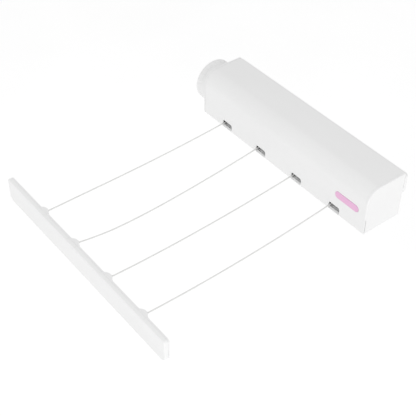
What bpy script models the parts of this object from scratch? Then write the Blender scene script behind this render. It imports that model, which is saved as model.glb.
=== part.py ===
"""A wall-mounted retractable clothesline: a housing with four lines on one roller, a pull bar, and a
rewinding knob with a ratchet. Metres, +Z up, the wall is the plane Y = 0 and the room is at -Y.
X runs along the housing, with the knob on its -X end."""

import math

import bmesh
import bpy
from mathutils import Matrix, Vector

# Housing
HOUSING_LENGTH = 0.380
HOUSING_HEIGHT = 0.0805
HOUSING_DEPTH = 0.075
WALL = 0.0022
TOP_RADIUS = 0.024
LIP_RADIUS = 0.003
CAP_THICK = 0.004
RIM_THICK = 0.0015
RIM_DEPTH = 0.006
BOSS_RADIUS = 0.0135
BUSH_RADIUS = 0.0100
BUSH_FLANGE = 0.0125
FLANGE_THICK = 0.0015
SCREW_INSET = 0.0065
POST_RADIUS = 0.0051
POST_LENGTH = 0.010
BACK_THICK = 0.0025
TAB_HEIGHT = 0.027
GAP = 0.0003
BITE = 0.001
LEAST_RADIUS = 0.0004
CAP_BEVEL = 0.0012
SOCKET_RADIUS = 0.0052
SOCKET_DEPTH = 0.005
LEFT_BOSS = 0.008
RIGHT_BOSS = 0.012
PILOT_RADIUS = 0.0018

# Wall plate
PLATE_THICK = 0.0054
PLATE_HEIGHT = 0.038
PLATE_LENGTH = 0.380
PLATE_CORNER = 0.009
PLATE_TOP_CORNER = 0.004
PLATE_BEVEL = 0.0008
PLATE_CENTRE_HEIGHT = 0.001
WALL_HOLE_X = (-0.110, -0.055, 0.055, 0.110)
WALL_HOLE_RADIUS = 0.0025
WALL_SINK_RADIUS = 0.0062
WALL_SINK_FROM = 0.0030
WALL_CUT = 0.007
HOOK_X = 0.150
HOOK_HALF = 0.007
HOOK_ROOT = 0.004
HOOK_REACH = 0.011
STEM_LOW = 0.002
STEM_HIGH = 0.006
HOOK_LOW = 0.0045
HOOK_HIGH = 0.011
HOOK_SLOT_LOW = -0.0035
HOOK_SLOT_CUT = 0.005
FOOT_HALF = 0.150
FOOT_LOW = 0.010
FOOT_HEIGHT = 0.003

# Lines
LANES = 4
LANE_PITCH = 0.0848
LINE_RADIUS = 0.0011
SLOT_WIDTH = 0.0228
SLOT_LOW = 0.004
SLOT_HIGH = 0.0146
SLOT_CORNER = 0.0035
SLOT_LOW_CORNER = 0.0008
SLOT_CUT = 0.006
SILL_DEPTH = 0.0042
SILL_OVER_SLOT = 0.0005
RAIL_DEPTH = 0.0205
RAIL_HALF = 0.150
RAIL_THICK = 0.0009
RIB_HALF = 0.0005
RIB_ROOT = 0.0004
RIB_TOP = 0.0014
RIB_PITCH = 0.0034
RIBS_EACH_SIDE = 3
LINE_ABOVE_BOTTOM = 0.0082
LINE_OFFSET = -0.0095

# Roller, about an axis along X
ROLLER_BEHIND_BACK = 0.038
ROLLER_ABOVE_BOTTOM = 0.041
SHAFT_RADIUS = 0.007
SHAFT_RIGHT_END = 0.1835
SHAFT_SHOULDER = 0.0005
SQUARE_ROOT_INSIDE = 0.010
TAPPED_FROM = 0.004
TAPPED_RADIUS = 0.0023
END_PLAY = 0.0008
WINDING_PLAY = 0.0007
SPOOL_RADIUS = 0.023
CORE_RADIUS = 0.012
SPOOL_HALF = 0.018
FLANGE = 0.0018
WOUND_RADIUS = 0.0184
SPACER_RADIUS = 0.0095
ROD_RADIUS = 0.0035
ROD_GAP = 0.0008
LEFT_STOP = -0.1760
RIGHT_STOP = 0.1722

# Knob and ratchet; heights are measured outwards from the left cap's face
KNOB_RADIUS = 0.036
KNOB_HEIGHT = 0.0255
TEETH = 12
TOOTH_TIP = 0.020
TOOTH_ROOT = 0.0165
PAWL_PIVOT = 0.0265
PAWL_LOW = 0.0084
PAWL_HIGH = 0.0119
TIP_ANGLE = 45.0
SHAFT_END = 0.0147
SQUARE = 0.0096
PIVOT_ANGLE = 45
PIVOT_BORE = 0.0023
PIVOT_DEPTH = 0.0032
SLIT_TOP = 0.014
SPRING_POST_RADII = (0.0238, 0.0275)
SPRING_POST_SIDES = (-0.0110, -0.0078)
LEAF_END = -0.0070
PAWL_ROUND = 0.0038
LEAF_RADIUS = 0.0256
LEAF_THICK = 0.0005
SLIT_WIDTH = 0.0011
RING_LOW = 0.0019
RING_HIGH = 0.0055
HUB_RADIUS = 0.0100

# Pull bar
BAR_LENGTH = 0.410
BAR_LEFT = -0.2225
BAR_HEIGHT = 0.0416
BAR_DEPTH = 0.0092
BAR_TOP = 0.013
BAR_FRONT_FROM_BACK = 0.4315
BAR_BACK_THICK = 0.0026
BAR_WALL = 0.0022
BAR_LOW_CORNER = 0.010
BAR_TOP_CORNER = 0.004
BAR_FACE_BEVEL = 0.0016
BAR_BACK_BEVEL = 0.0005
BAR_RIM = 0.002
TRAY_CUT = 0.012
BAR_PILOT_ENDS = (-0.008, -0.0020)
BAR_HOLE_CUT = 0.010
BAR_POST_RADIUS = 0.0036
BAR_PILOT_RADIUS = 0.0014
BAR_SCREW_X = (-0.190, -0.0848, 0.020, 0.160)
BAR_SCREW_UP = 0.014
LUG_RADIUS = 0.0112
LUG_OUT = 0.0055
LUG_HEIGHT = 0.008
LUG_UNDER_TOP = 0.0006
HOLE_SHIFT = 0.0015
HOLE_ABOVE_BOTTOM = 0.0086
KNOT_RADIUS = 0.0019

# Badge
BADGE_LENGTH = 0.048
BADGE_HEIGHT = 0.012
BADGE_X = 0.1508
BADGE_ABOVE_BOTTOM = 0.038
BADGE_SUNK = 0.0005
BADGE_PROUD = 0.0004
BADGE_ROUND = 0.98
BADGE_POCKET = 0.0008
POCKET_CUT = 0.004

# Places that follow from the sizes above
BOTTOM = -0.056
TOP = BOTTOM + HOUSING_HEIGHT
BACK = -(PLATE_THICK + GAP)
FRONT = BACK - HOUSING_DEPTH
CAP_FACE = HOUSING_LENGTH / 2
CAP_INNER = CAP_FACE - CAP_THICK
COVER_END = CAP_INNER - GAP
LANE_X = [(k - (LANES - 1) / 2) * LANE_PITCH for k in range(LANES)]
AXIS = Vector((0, BACK - ROLLER_BEHIND_BACK, BOTTOM + ROLLER_ABOVE_BOTTOM))
BAR_FRONT = BACK - BAR_FRONT_FROM_BACK
BAR_BACK = BAR_FRONT + BAR_DEPTH
BAR_LOW = BOTTOM + BAR_TOP - BAR_HEIGHT
HOLE_Z = BOTTOM + HOLE_ABOVE_BOTTOM
LINE_DROP = WOUND_RADIUS + GAP + LINE_RADIUS
LINE_LOW = BOTTOM + LINE_ABOVE_BOTTOM
ROD_REACH = ROD_RADIUS + ROD_GAP + LINE_RADIUS
ROD = Vector((0, AXIS.y + LINE_DROP - ROD_REACH, LINE_LOW + ROD_REACH))
SCREW_Z = (BOTTOM + SCREW_INSET, TOP - SCREW_INSET)
SCREW_X = (-LANE_PITCH, 0, LANE_PITCH)

# A line's route from its winding to its knot: offset from its lane, Y, Z, and shares of its sag and sway.
LINE_ROUTE = [
    (LINE_OFFSET, AXIS.y + LINE_DROP, AXIS.z, 0, 0),
    (LINE_OFFSET, AXIS.y + LINE_DROP, AXIS.z - 0.010, 0, 0),
    (LINE_OFFSET, AXIS.y + LINE_DROP, ROD.z + 0.006, 0, 0),
    (LINE_OFFSET, AXIS.y + LINE_DROP, ROD.z, 0, 0),
    (LINE_OFFSET, ROD.y + 0.7071 * ROD_REACH, ROD.z - 0.7071 * ROD_REACH, 0, 0),
    (LINE_OFFSET, ROD.y, LINE_LOW, 0, 0),
    (LINE_OFFSET, ROD.y - 0.010, LINE_LOW, 0, 0),
    (LINE_OFFSET, ROD.y - 0.030, LINE_LOW, 0, 0),
    (LINE_OFFSET, FRONT, LINE_LOW, 0.02, 0),
    (-0.0088, -0.105, LINE_LOW, 0.30, 0.06),
    (-0.0078, -0.140, LINE_LOW, 0.60, 0.18),
    (-0.0065, -0.185, LINE_LOW, 0.87, 0.36),
    (-0.0047, -0.245, LINE_LOW, 1.00, 0.65),
    (-0.0027, -0.310, LINE_LOW, 0.87, 0.92),
    (-0.0008, -0.365, LINE_LOW + 0.0002, 0.55, 0.90),
    (0.0007, -0.402, HOLE_Z - 0.0001, 0.22, 0.42),
    (HOLE_SHIFT, BAR_BACK + LUG_OUT, HOLE_Z, 0.0, 0),
    (HOLE_SHIFT, BAR_BACK - BAR_BACK_THICK, HOLE_Z, 0, 0),
]
LINE_SAG = (0.0046, 0.0072, 0.0054, 0.0062)
LINE_SWAY = (-0.0010, 0.0065, 0.0010, 0.0008)
INSIDE_STEP = 0.003
OUTSIDE_STEP = 0.0078
EXIT_POINT = 8
CURVE_STEPS = 12

# Local axes of the pieces, as columns: a flat outline lies in the first two and is as thick as the third.
ALONG_X = Matrix(((0, 0, 1), (1, 0, 0), (0, 1, 0)))
ALONG_Y = Matrix(((1, 0, 0), (0, 0, -1), (0, 1, 0)))
FROM_BEHIND = ALONG_Y @ Matrix.Rotation(math.pi, 3, "X")
ALONG_Z = Matrix.Identity(3)
KNOB_AXES = Matrix(((0, 0, -1), (-1, 0, 0), (0, 1, 0)))
KNOB_ORIGIN = Vector((-CAP_FACE, AXIS.y, AXIS.z))


def empty_scene():
    for obj in list(bpy.data.objects):
        bpy.data.objects.remove(obj)


def new_collection(name):
    made = bpy.data.collections.new(name)
    bpy.context.scene.collection.children.link(made)
    return made


def new_material(name, colour, roughness, metallic=0.0):
    made = bpy.data.materials.new(name)
    made.use_nodes = True
    shader = made.node_tree.nodes["Principled BSDF"]
    shader.inputs["Base Color"].default_value = (*colour, 1)
    shader.inputs["Roughness"].default_value = roughness
    shader.inputs["Metallic"].default_value = metallic
    return made


empty_scene()
PARTS = new_collection("retractable_clothesline")
CUTTERS = new_collection("cutters")
LOOKS = {
    "white_plastic": ((0.86, 0.86, 0.86), 0.38, 0.0),
    "grey_plastic": ((0.35, 0.36, 0.38), 0.45, 0.0),
    "pink_plastic": ((0.83, 0.50, 0.72), 0.40, 0.0),
    "steel": ((0.62, 0.62, 0.64), 0.30, 1.0),
    "line": ((0.80, 0.80, 0.80), 0.60, 0.0),
}


def standing(axes, at):
    return Matrix.Translation(Vector(at)) @ axes.to_4x4()


def add(name, mesh, axes=ALONG_Z, at=(0, 0, 0)):
    obj = bpy.data.objects.new(name, mesh)
    obj.matrix_world = standing(axes, at)
    PARTS.objects.link(obj)
    return obj


def finish(obj, look):
    """Gives a piece its own material, and smooth shading with sharp edges."""
    obj.data.materials.clear()
    obj.data.materials.append(new_material(f"{obj.name}_{look}", *LOOKS[look]))
    if obj.type == "MESH":
        obj.data.shade_smooth()
        obj.data.set_sharp_from_angle(angle=math.radians(35))
    return obj


def as_mesh(obj):
    """The piece as it shows, as an object with a plain, closed mesh."""
    shown = obj.evaluated_get(bpy.context.evaluated_depsgraph_get())
    mesh = bpy.data.meshes.new_from_object(shown)
    shape = bmesh.new()
    shape.from_mesh(mesh)
    bmesh.ops.remove_doubles(shape, verts=shape.verts, dist=1e-5)
    bmesh.ops.recalc_face_normals(shape, faces=shape.faces)
    shape.to_mesh(mesh)
    shape.free()
    made = bpy.data.objects.new("shape", mesh)
    made.matrix_world = obj.matrix_world.copy()
    PARTS.objects.link(made)
    name = obj.name
    bpy.data.objects.remove(obj)
    made.name = name
    return made


def outline_solid(name, outlines, low, high, axes=ALONG_Z, at=(0, 0, 0)):
    """A flat outline, with holes for any further outlines, from height low to high on its third axis."""
    curve = bpy.data.curves.new(name, "CURVE")
    curve.dimensions = "2D"
    curve.fill_mode = "BOTH"
    curve.extrude = (high - low) / 2
    for outline in outlines:
        spline = curve.splines.new("POLY")
        spline.points.add(len(outline) - 1)
        spline.use_cyclic_u = True
        for point, (x, y) in zip(spline.points, outline):
            point.co = (x, y, 0, 1)
    obj = bpy.data.objects.new(name, curve)
    PARTS.objects.link(obj)
    obj.matrix_world = standing(axes, at) @ Matrix.Translation((0, 0, (low + high) / 2))
    bpy.context.view_layer.update()
    return as_mesh(obj)


def turned(name, profile, axes, at=(0, 0, 0), steps=32, closed=True):
    """A profile of (radius, height) points, down its outer side, turned about the third axis."""
    mesh = bpy.data.meshes.new(name)
    edges = [(i, i + 1) for i in range(len(profile) - 1)]
    if closed:
        edges.append((len(profile) - 1, 0))
    mesh.from_pydata([(r, 0, h) for r, h in profile], edges, [])
    obj = add(name, mesh, axes, at)
    screw = obj.modifiers.new("turn", "SCREW")
    screw.steps = steps
    screw.render_steps = steps
    screw.use_merge_vertices = True
    screw.merge_threshold = 0.00001
    bpy.context.view_layer.update()
    return as_mesh(obj)


def ring(name, outer, inner, low, high, axes, at, steps=32):
    """A plain tube about the third axis."""
    return turned(name, [(outer, high), (outer, low), (inner, low), (inner, high)], axes, at, steps)


def cylinder(name, radius, low, high, axes, at, steps=24):
    profile = [(0, high), (radius, high), (radius, low), (0, low)]
    return turned(name, profile, axes, at, steps, closed=False)


def box(name, low, high):
    mesh = bpy.data.meshes.new(name)
    shape = bmesh.new()
    bmesh.ops.create_cube(shape, size=1)
    size = Vector(high) - Vector(low)
    bmesh.ops.scale(shape, vec=size, verts=shape.verts)
    shape.to_mesh(mesh)
    shape.free()
    return add(name, mesh, at=(Vector(low) + Vector(high)) / 2)


def bevel(obj, width, segments=2, angle=60):
    edge = obj.modifiers.new("bevel", "BEVEL")
    edge.width = width
    edge.segments = segments
    edge.limit_method = "ANGLE"
    edge.angle_limit = math.radians(angle)
    return obj


def combine(obj, other, operation):
    """Cuts another shape out of a piece, or joins it on, and puts that shape among the cutters."""
    step = obj.modifiers.new(operation.lower(), "BOOLEAN")
    step.operation = operation
    step.solver = "EXACT"
    step.object = other
    other.name = f"cutter_{len(CUTTERS.objects) + 1}"
    PARTS.objects.unlink(other)
    CUTTERS.objects.link(other)
    other.hide_render = True
    other.display_type = "WIRE"


def cut(obj, *others):
    for other in others:
        combine(obj, other, "DIFFERENCE")


def join(obj, *others):
    for other in others:
        combine(obj, other, "UNION")


def arc(centre, radius, start, end, steps):
    """Points on a circle, from one angle to another, in degrees."""
    angles = [math.radians(start + (end - start) * i / steps) for i in range(steps + 1)]
    return [(centre[0] + radius * math.cos(a), centre[1] + radius * math.sin(a)) for a in angles]


def rounded(x0, y0, x1, y1, low_radius, high_radius, steps=4):
    """A rectangle whose two lower and two upper corners have a radius each."""
    points = arc((x1 - low_radius, y0 + low_radius), low_radius, -90, 0, steps)
    points += arc((x1 - high_radius, y1 - high_radius), high_radius, 0, 90, steps)
    points += arc((x0 + high_radius, y1 - high_radius), high_radius, 90, 180, steps)
    points += arc((x0 + low_radius, y0 + low_radius), low_radius, 180, 270, steps)
    return points


def housing_side(inset=0.0, back_inset=0.0):
    """The housing's side profile, open at the back: along the bottom, up the front, over the top."""
    lip = (FRONT + LIP_RADIUS, BOTTOM + LIP_RADIUS)
    shoulder = (FRONT + TOP_RADIUS, TOP - TOP_RADIUS)
    points = [(BACK - back_inset, BOTTOM + inset)]
    points += arc(lip, max(LIP_RADIUS - inset, LEAST_RADIUS), 270, 180, 4)
    points += arc(shoulder, TOP_RADIUS - inset, 180, 90, 12)
    points += [(BACK - back_inset, TOP - inset)]
    return points


def front_tab():
    """The strip of the front cover's lower front that reaches out over the right cap."""
    lip = (FRONT + LIP_RADIUS, BOTTOM + LIP_RADIUS)
    high = BOTTOM + TAB_HEIGHT
    outer = [(FRONT, high)] + arc(lip, LIP_RADIUS, 180, 270, 4)
    inner = arc(lip, LIP_RADIUS - WALL, 270, 180, 4) + [(FRONT + WALL, high)]
    return outline_solid("tab", [outer + inner], COVER_END - 2 * BITE, CAP_FACE - GAP, ALONG_X)


def front_cover():
    profile = housing_side() + housing_side(inset=WALL)[::-1]
    cover = outline_solid("front_cover", [profile], -COVER_END, COVER_END, ALONG_X)
    join(cover, front_tab())
    for z in SCREW_Z:
        for x in SCREW_X:
            at = (x, BACK - BACK_THICK - GAP, z)
            join(cover, cylinder("post", POST_RADIUS, 0, POST_LENGTH, ALONG_Y, at, 18))
            cut(cover, cylinder("pilot", PILOT_RADIUS, -BITE, POST_LENGTH - BITE, ALONG_Y, at, 12))
    for x in LANE_X:
        half = SLOT_WIDTH / 2
        edge = half + BITE
        join(cover, box("sill", (x - edge, FRONT + BITE, BOTTOM + BITE),
                        (x + edge, FRONT + SILL_DEPTH, BOTTOM + SLOT_LOW + SILL_OVER_SLOT)))
        low, high = BOTTOM + SLOT_LOW, BOTTOM + SLOT_HIGH
        slot = rounded(x - half, low, x + half, high, SLOT_LOW_CORNER, SLOT_CORNER)
        cut(cover, outline_solid("slot", [slot], -SLOT_CUT, SLOT_CUT, ALONG_Y, (0, FRONT, 0)))
    at = (0, FRONT, 0)
    cut(cover, outline_solid("pocket", [badge_outline(GAP)], -BADGE_POCKET, POCKET_CUT, ALONG_Y, at))
    return finish(cover, "white_plastic")


def badge_outline(margin=0.0):
    length = BADGE_LENGTH / 2 + margin
    height = BADGE_HEIGHT / 2 + margin
    z = BOTTOM + BADGE_ABOVE_BOTTOM
    radius = BADGE_ROUND * height
    return rounded(BADGE_X - length, z - height, BADGE_X + length, z + height, radius, radius, 6)


def badge():
    at = (0, FRONT, 0)
    piece = outline_solid("badge", [badge_outline()], -BADGE_SUNK, BADGE_PROUD, ALONG_Y, at)
    return finish(piece, "pink_plastic")


def hook_box(side, y_near, y_far, low, high, margin=0.0):
    half = HOOK_HALF + margin
    x = side * HOOK_X
    return box("hook", (x - half, y_far, low), (x + half, y_near, high))


def wall_plate():
    half = PLATE_LENGTH / 2
    top = PLATE_HEIGHT / 2
    up = PLATE_CENTRE_HEIGHT
    outline = rounded(-half, up - top, half, up + top, PLATE_CORNER, PLATE_TOP_CORNER)
    plate = outline_solid("wall_plate", [outline], 0, PLATE_THICK, ALONG_Y)
    bevel(plate, PLATE_BEVEL, 1)
    for side in (-1, 1):
        stem = hook_box(side, -HOOK_ROOT, -HOOK_REACH, STEM_LOW, STEM_HIGH)
        lip = hook_box(side, BACK - BACK_THICK - GAP, -HOOK_REACH, HOOK_LOW, HOOK_HIGH)
        join(plate, stem, lip)
    for x in WALL_HOLE_X:
        at = (x, 0, up)
        cut(plate, cylinder("hole", WALL_HOLE_RADIUS, -BITE, WALL_CUT, ALONG_Y, at, 16))
        sink = [(0, WALL_CUT), (WALL_SINK_RADIUS, WALL_CUT), (WALL_HOLE_RADIUS, WALL_SINK_FROM),
                (0, WALL_SINK_FROM)]
        cut(plate, turned("sink", sink, ALONG_Y, at, 16, closed=False))
    return finish(plate, "white_plastic")


def back_cover():
    low = BOTTOM + WALL + GAP
    high = TOP - WALL - GAP
    cover = box("back_cover", (-COVER_END, BACK - BACK_THICK, low), (COVER_END, BACK, high))
    foot_low = BOTTOM + FOOT_LOW
    foot = box("foot", (-FOOT_HALF, BACK - BITE, foot_low), (FOOT_HALF, 0, foot_low + FOOT_HEIGHT))
    join(cover, foot)
    for side in (-1, 1):
        far = BACK - HOOK_SLOT_CUT
        cut(cover, hook_box(side, BACK + BITE, far, HOOK_SLOT_LOW, STEM_HIGH + GAP, GAP))
    for z in SCREW_Z:
        for x in SCREW_X:
            sink = [(0, 0.001), (0.0042, 0.001), (0.0019, -0.0016), (0.0019, -0.004), (0, -0.004)]
            cut(cover, turned("sink", sink, FROM_BEHIND, (x, BACK, z), 12, closed=False))
    return finish(cover, "white_plastic")


def cover_screws():
    """Countersunk screws from behind, through the back cover into the front cover's posts."""
    profile = [(0, 0), (0.0030, 0), (0.0015, -0.0017), (0.0015, -0.0098), (0, -0.0108)]
    places = [(x, BACK, z) for z in SCREW_Z for x in SCREW_X]
    for k, place in enumerate(places):
        finish(turned(f"cover_screw_{k + 1}", profile, FROM_BEHIND, place, 12, closed=False), "steel")


def cap_body(name, side):
    """An end cap: a plate of the housing's profile, with a rim inside the covers and a rod socket."""
    plate = outline_solid(name, [housing_side()], side * (CAP_INNER + CAP_FACE) / 2 - CAP_THICK / 2,
                          side * (CAP_INNER + CAP_FACE) / 2 + CAP_THICK / 2, ALONG_X)
    bevel(plate, CAP_BEVEL, 2)
    outer = housing_side(WALL + GAP, BACK_THICK + GAP)
    inner = housing_side(WALL + GAP + RIM_THICK, BACK_THICK + GAP + RIM_THICK)
    ends = sorted((side * (CAP_INNER - RIM_DEPTH), side * (CAP_INNER + BITE)))
    join(plate, outline_solid("rim", [outer, inner], *ends, ALONG_X))
    ends = sorted((side * (CAP_INNER - SOCKET_DEPTH), side * (CAP_INNER + BITE)))
    join(plate, cylinder("socket", SOCKET_RADIUS, *ends, ALONG_X, (0, ROD.y, ROD.z), 20))
    ends = sorted((side * (CAP_INNER - SOCKET_DEPTH - BITE), side * CAP_INNER))
    cut(plate, cylinder("bore", ROD_RADIUS + GAP, *ends, ALONG_X, (0, ROD.y, ROD.z), 16))
    return plate


def right_end_cap():
    cap = cap_body("right_end_cap", 1)
    ends = (CAP_INNER - RIGHT_BOSS, CAP_INNER + BITE)
    join(cap, cylinder("boss", BOSS_RADIUS, *ends, ALONG_X, AXIS, 32))
    ends = (CAP_INNER - RIGHT_BOSS - BITE, CAP_INNER)
    cut(cap, cylinder("bore", BUSH_RADIUS + GAP, *ends, ALONG_X, AXIS, 32))
    notch_high = BOTTOM + TAB_HEIGHT + GAP
    low = (CAP_INNER - BITE, FRONT - 2 * BITE, BOTTOM - 2 * BITE)
    cut(cap, box("notch", low, (CAP_FACE + 2 * BITE, FRONT + LIP_RADIUS + GAP, notch_high)))
    return finish(cap, "white_plastic")


def polar(radius, angle):
    """A point about the knob's axis, with the pawl's tip at angle 0."""
    a = math.radians(TIP_ANGLE + angle)
    return (radius * math.cos(a), radius * math.sin(a))


def turn_points(points):
    """Points drawn with the pawl's tip on the first axis, turned to where the tip is."""
    a = math.radians(TIP_ANGLE)
    return [(x * math.cos(a) - y * math.sin(a), x * math.sin(a) + y * math.cos(a)) for x, y in points]


def on_knob(x, y):
    """The place in the world of a point about the knob's axis, on the left cap's face."""
    return KNOB_ORIGIN + KNOB_AXES @ Vector((x, y, 0))


def left_end_cap():
    cap = cap_body("left_end_cap", -1)
    ends = (-CAP_INNER - BITE, -CAP_INNER + LEFT_BOSS)
    join(cap, cylinder("boss", BOSS_RADIUS, *ends, ALONG_X, AXIS, 32))
    ends = (-CAP_FACE - BITE, -CAP_INNER + LEFT_BOSS + BITE)
    cut(cap, cylinder("bore", BUSH_RADIUS + GAP, *ends, ALONG_X, AXIS, 32))
    pivot = on_knob(*polar(PAWL_PIVOT, PIVOT_ANGLE))
    join(cap, cylinder("pivot_post", PAWL_ROUND, -BITE, PAWL_LOW - GAP, KNOB_AXES, pivot, 20))
    cut(cap, cylinder("pivot_bore", PIVOT_BORE, -PIVOT_DEPTH, PAWL_LOW + BITE, KNOB_AXES, pivot, 16))
    near, far = SPRING_POST_RADII
    first, last = SPRING_POST_SIDES
    block = turn_points([(near, first), (far, first), (far, last), (near, last)])
    slit = turn_points(ribbon([(LEAF_RADIUS, first - BITE), (LEAF_RADIUS, LEAF_END)], SLIT_WIDTH))
    join(cap, outline_solid("spring_post", [block], -BITE, PAWL_HIGH, KNOB_AXES, KNOB_ORIGIN))
    cut(cap, outline_solid("slit", [slit], PAWL_LOW - GAP, SLIT_TOP, KNOB_AXES, KNOB_ORIGIN))
    return finish(cap, "white_plastic")


def ribbon(path, thickness):
    """The outline of a strip of that thickness along a path."""
    left, right = [], []
    for i, point in enumerate(path):
        before = Vector(path[max(i - 1, 0)])
        after = Vector(path[min(i + 1, len(path) - 1)])
        side = (after - before).normalized().orthogonal() * thickness / 2
        left.append(tuple(Vector(point) + side))
        right.append(tuple(Vector(point) - side))
    return left + right[::-1]


def line_rail():
    """The ribbed strip on the housing's floor, just behind the slots."""
    low = BOTTOM + WALL + GAP
    near = FRONT + SILL_DEPTH + 2 * GAP
    far = near + RAIL_DEPTH
    rail = box("line_rail", (-RAIL_HALF, near, low), (RAIL_HALF, far, low + RAIL_THICK))
    for lane in LANE_X:
        for k in range(-RIBS_EACH_SIDE, RIBS_EACH_SIDE + 1):
            x = lane + k * RIB_PITCH
            join(rail, box("rib", (x - RIB_HALF, near + RIB_HALF, low + RIB_ROOT),
                           (x + RIB_HALF, far - RIB_HALF, low + RIB_TOP)))
    return finish(rail, "white_plastic")


def guide_rod():
    end = CAP_INNER - END_PLAY
    return finish(cylinder("guide_rod", ROD_RADIUS, -end, end, ALONG_X, (0, ROD.y, ROD.z), 16), "steel")


def bushes():
    """Flanged bushes, each pressed into its cap's boss from inside the housing."""
    inner = SHAFT_RADIUS + GAP
    start = CAP_INNER - END_PLAY
    shoulder = RIGHT_STOP + FLANGE_THICK
    right = [(BUSH_RADIUS, start), (BUSH_RADIUS, shoulder), (BUSH_FLANGE, shoulder),
             (BUSH_FLANGE, RIGHT_STOP), (inner, RIGHT_STOP), (inner, start)]
    finish(turned("bush_right", right, ALONG_X, AXIS, 24), "grey_plastic")
    shoulder = LEFT_STOP - FLANGE_THICK
    end = -CAP_FACE + SHAFT_SHOULDER
    left = [(BUSH_FLANGE, LEFT_STOP), (BUSH_FLANGE, shoulder), (BUSH_RADIUS, shoulder),
            (BUSH_RADIUS, end), (inner, end), (inner, LEFT_STOP)]
    finish(turned("bush_left", left, ALONG_X, AXIS, 24), "grey_plastic")


def roller_shaft():
    """A round shaft, with a square left end for the knob and a threaded hole in that end."""
    shoulder = -CAP_FACE - SHAFT_SHOULDER
    shaft = cylinder("roller_shaft", SHAFT_RADIUS, shoulder, SHAFT_RIGHT_END, ALONG_X, AXIS)
    half = SQUARE / 2
    square = box("square", (-CAP_FACE - SHAFT_END, AXIS.y - half, AXIS.z - half),
                 (-CAP_FACE + SQUARE_ROOT_INSIDE, AXIS.y + half, AXIS.z + half))
    join(shaft, square)
    cut(shaft, cylinder("tapped", TAPPED_RADIUS, TAPPED_FROM, SHAFT_END + BITE, KNOB_AXES, KNOB_ORIGIN, 12))
    return finish(shaft, "steel")


def spools():
    """Four equal spools on the shaft, each with its winding of line."""
    flange = SPOOL_HALF - FLANGE
    inner = SHAFT_RADIUS + GAP
    profile = [(SPOOL_RADIUS, SPOOL_HALF), (SPOOL_RADIUS, flange), (CORE_RADIUS, flange),
               (CORE_RADIUS, -flange), (SPOOL_RADIUS, -flange), (SPOOL_RADIUS, -SPOOL_HALF),
               (inner, -SPOOL_HALF), (inner, SPOOL_HALF)]
    wound = flange - WINDING_PLAY
    for k, x in enumerate(LANE_X):
        at = (x, AXIS.y, AXIS.z)
        finish(turned(f"spool_{k + 1}", profile, ALONG_X, at, 28), "white_plastic")
        winding = ring(f"winding_{k + 1}", WOUND_RADIUS, CORE_RADIUS + GAP, -wound, wound, ALONG_X, at, 28)
        finish(winding, "line")


def spacers():
    """Tubes on the shaft between the bushes and the spools."""
    stops = [LEFT_STOP] + [x + side * SPOOL_HALF for x in LANE_X for side in (-1, 1)] + [RIGHT_STOP]
    for k in range(LANES + 1):
        low = stops[2 * k] + GAP
        high = stops[2 * k + 1] - GAP
        tube = ring(f"spacer_{k + 1}", SPACER_RADIUS, SHAFT_RADIUS + GAP, low, high, ALONG_X, AXIS, 20)
        finish(tube, "grey_plastic")


def lines():
    """The free stretch of each line, from the back of its winding, round the guide rod, to the pull bar."""
    for k, lane in enumerate(LANE_X):
        route = []
        for dx, y, z, sag, sway in LINE_ROUTE:
            route.append(Vector((lane + dx + sway * LINE_SWAY[k], y, z - sag * LINE_SAG[k])))
        path = smooth_path(route)
        leaves = EXIT_POINT * CURVE_STEPS
        points = evenly(path[:leaves + 1], INSIDE_STEP) + evenly(path[leaves:], OUTSIDE_STEP)[1:]
        curve = bpy.data.curves.new(f"line_{k + 1}", "CURVE")
        curve.dimensions = "3D"
        curve.bevel_depth = LINE_RADIUS
        curve.bevel_resolution = 2
        curve.use_fill_caps = True
        spline = curve.splines.new("POLY")
        spline.points.add(len(points) - 1)
        for point, place in zip(spline.points, points):
            point.co = (*place, 1)
        obj = bpy.data.objects.new(f"line_{k + 1}", curve)
        PARTS.objects.link(obj)
        finish(obj, "line")


def smooth_path(route):
    """Points on a smooth curve through the route's own points."""
    ends = [2 * route[0] - route[1]] + route + [2 * route[-1] - route[-2]]
    path = []
    for a, b, c, d in zip(ends, ends[1:], ends[2:], ends[3:]):
        start = (c - a) * ((c - b).length / ((c - b).length + (b - a).length))
        stop = (d - b) * ((c - b).length / ((d - c).length + (c - b).length))
        for i in range(CURVE_STEPS):
            t = i / CURVE_STEPS
            path.append(b * (2 * t**3 - 3 * t**2 + 1) + start * (t**3 - 2 * t**2 + t)
                        + c * (3 * t**2 - 2 * t**3) + stop * (t**3 - t**2))
    return path + [route[-1]]


def evenly(path, step):
    """The same path, with points about a step apart."""
    lengths = [0.0]
    for a, b in zip(path, path[1:]):
        lengths.append(lengths[-1] + (b - a).length)
    count = round(lengths[-1] / step)
    points, i = [], 0
    for k in range(count + 1):
        at = lengths[-1] * k / count
        while i < len(path) - 2 and lengths[i + 1] < at:
            i += 1
        share = (at - lengths[i]) / (lengths[i + 1] - lengths[i])
        points.append(path[i].lerp(path[i + 1], share))
    return points


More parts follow.
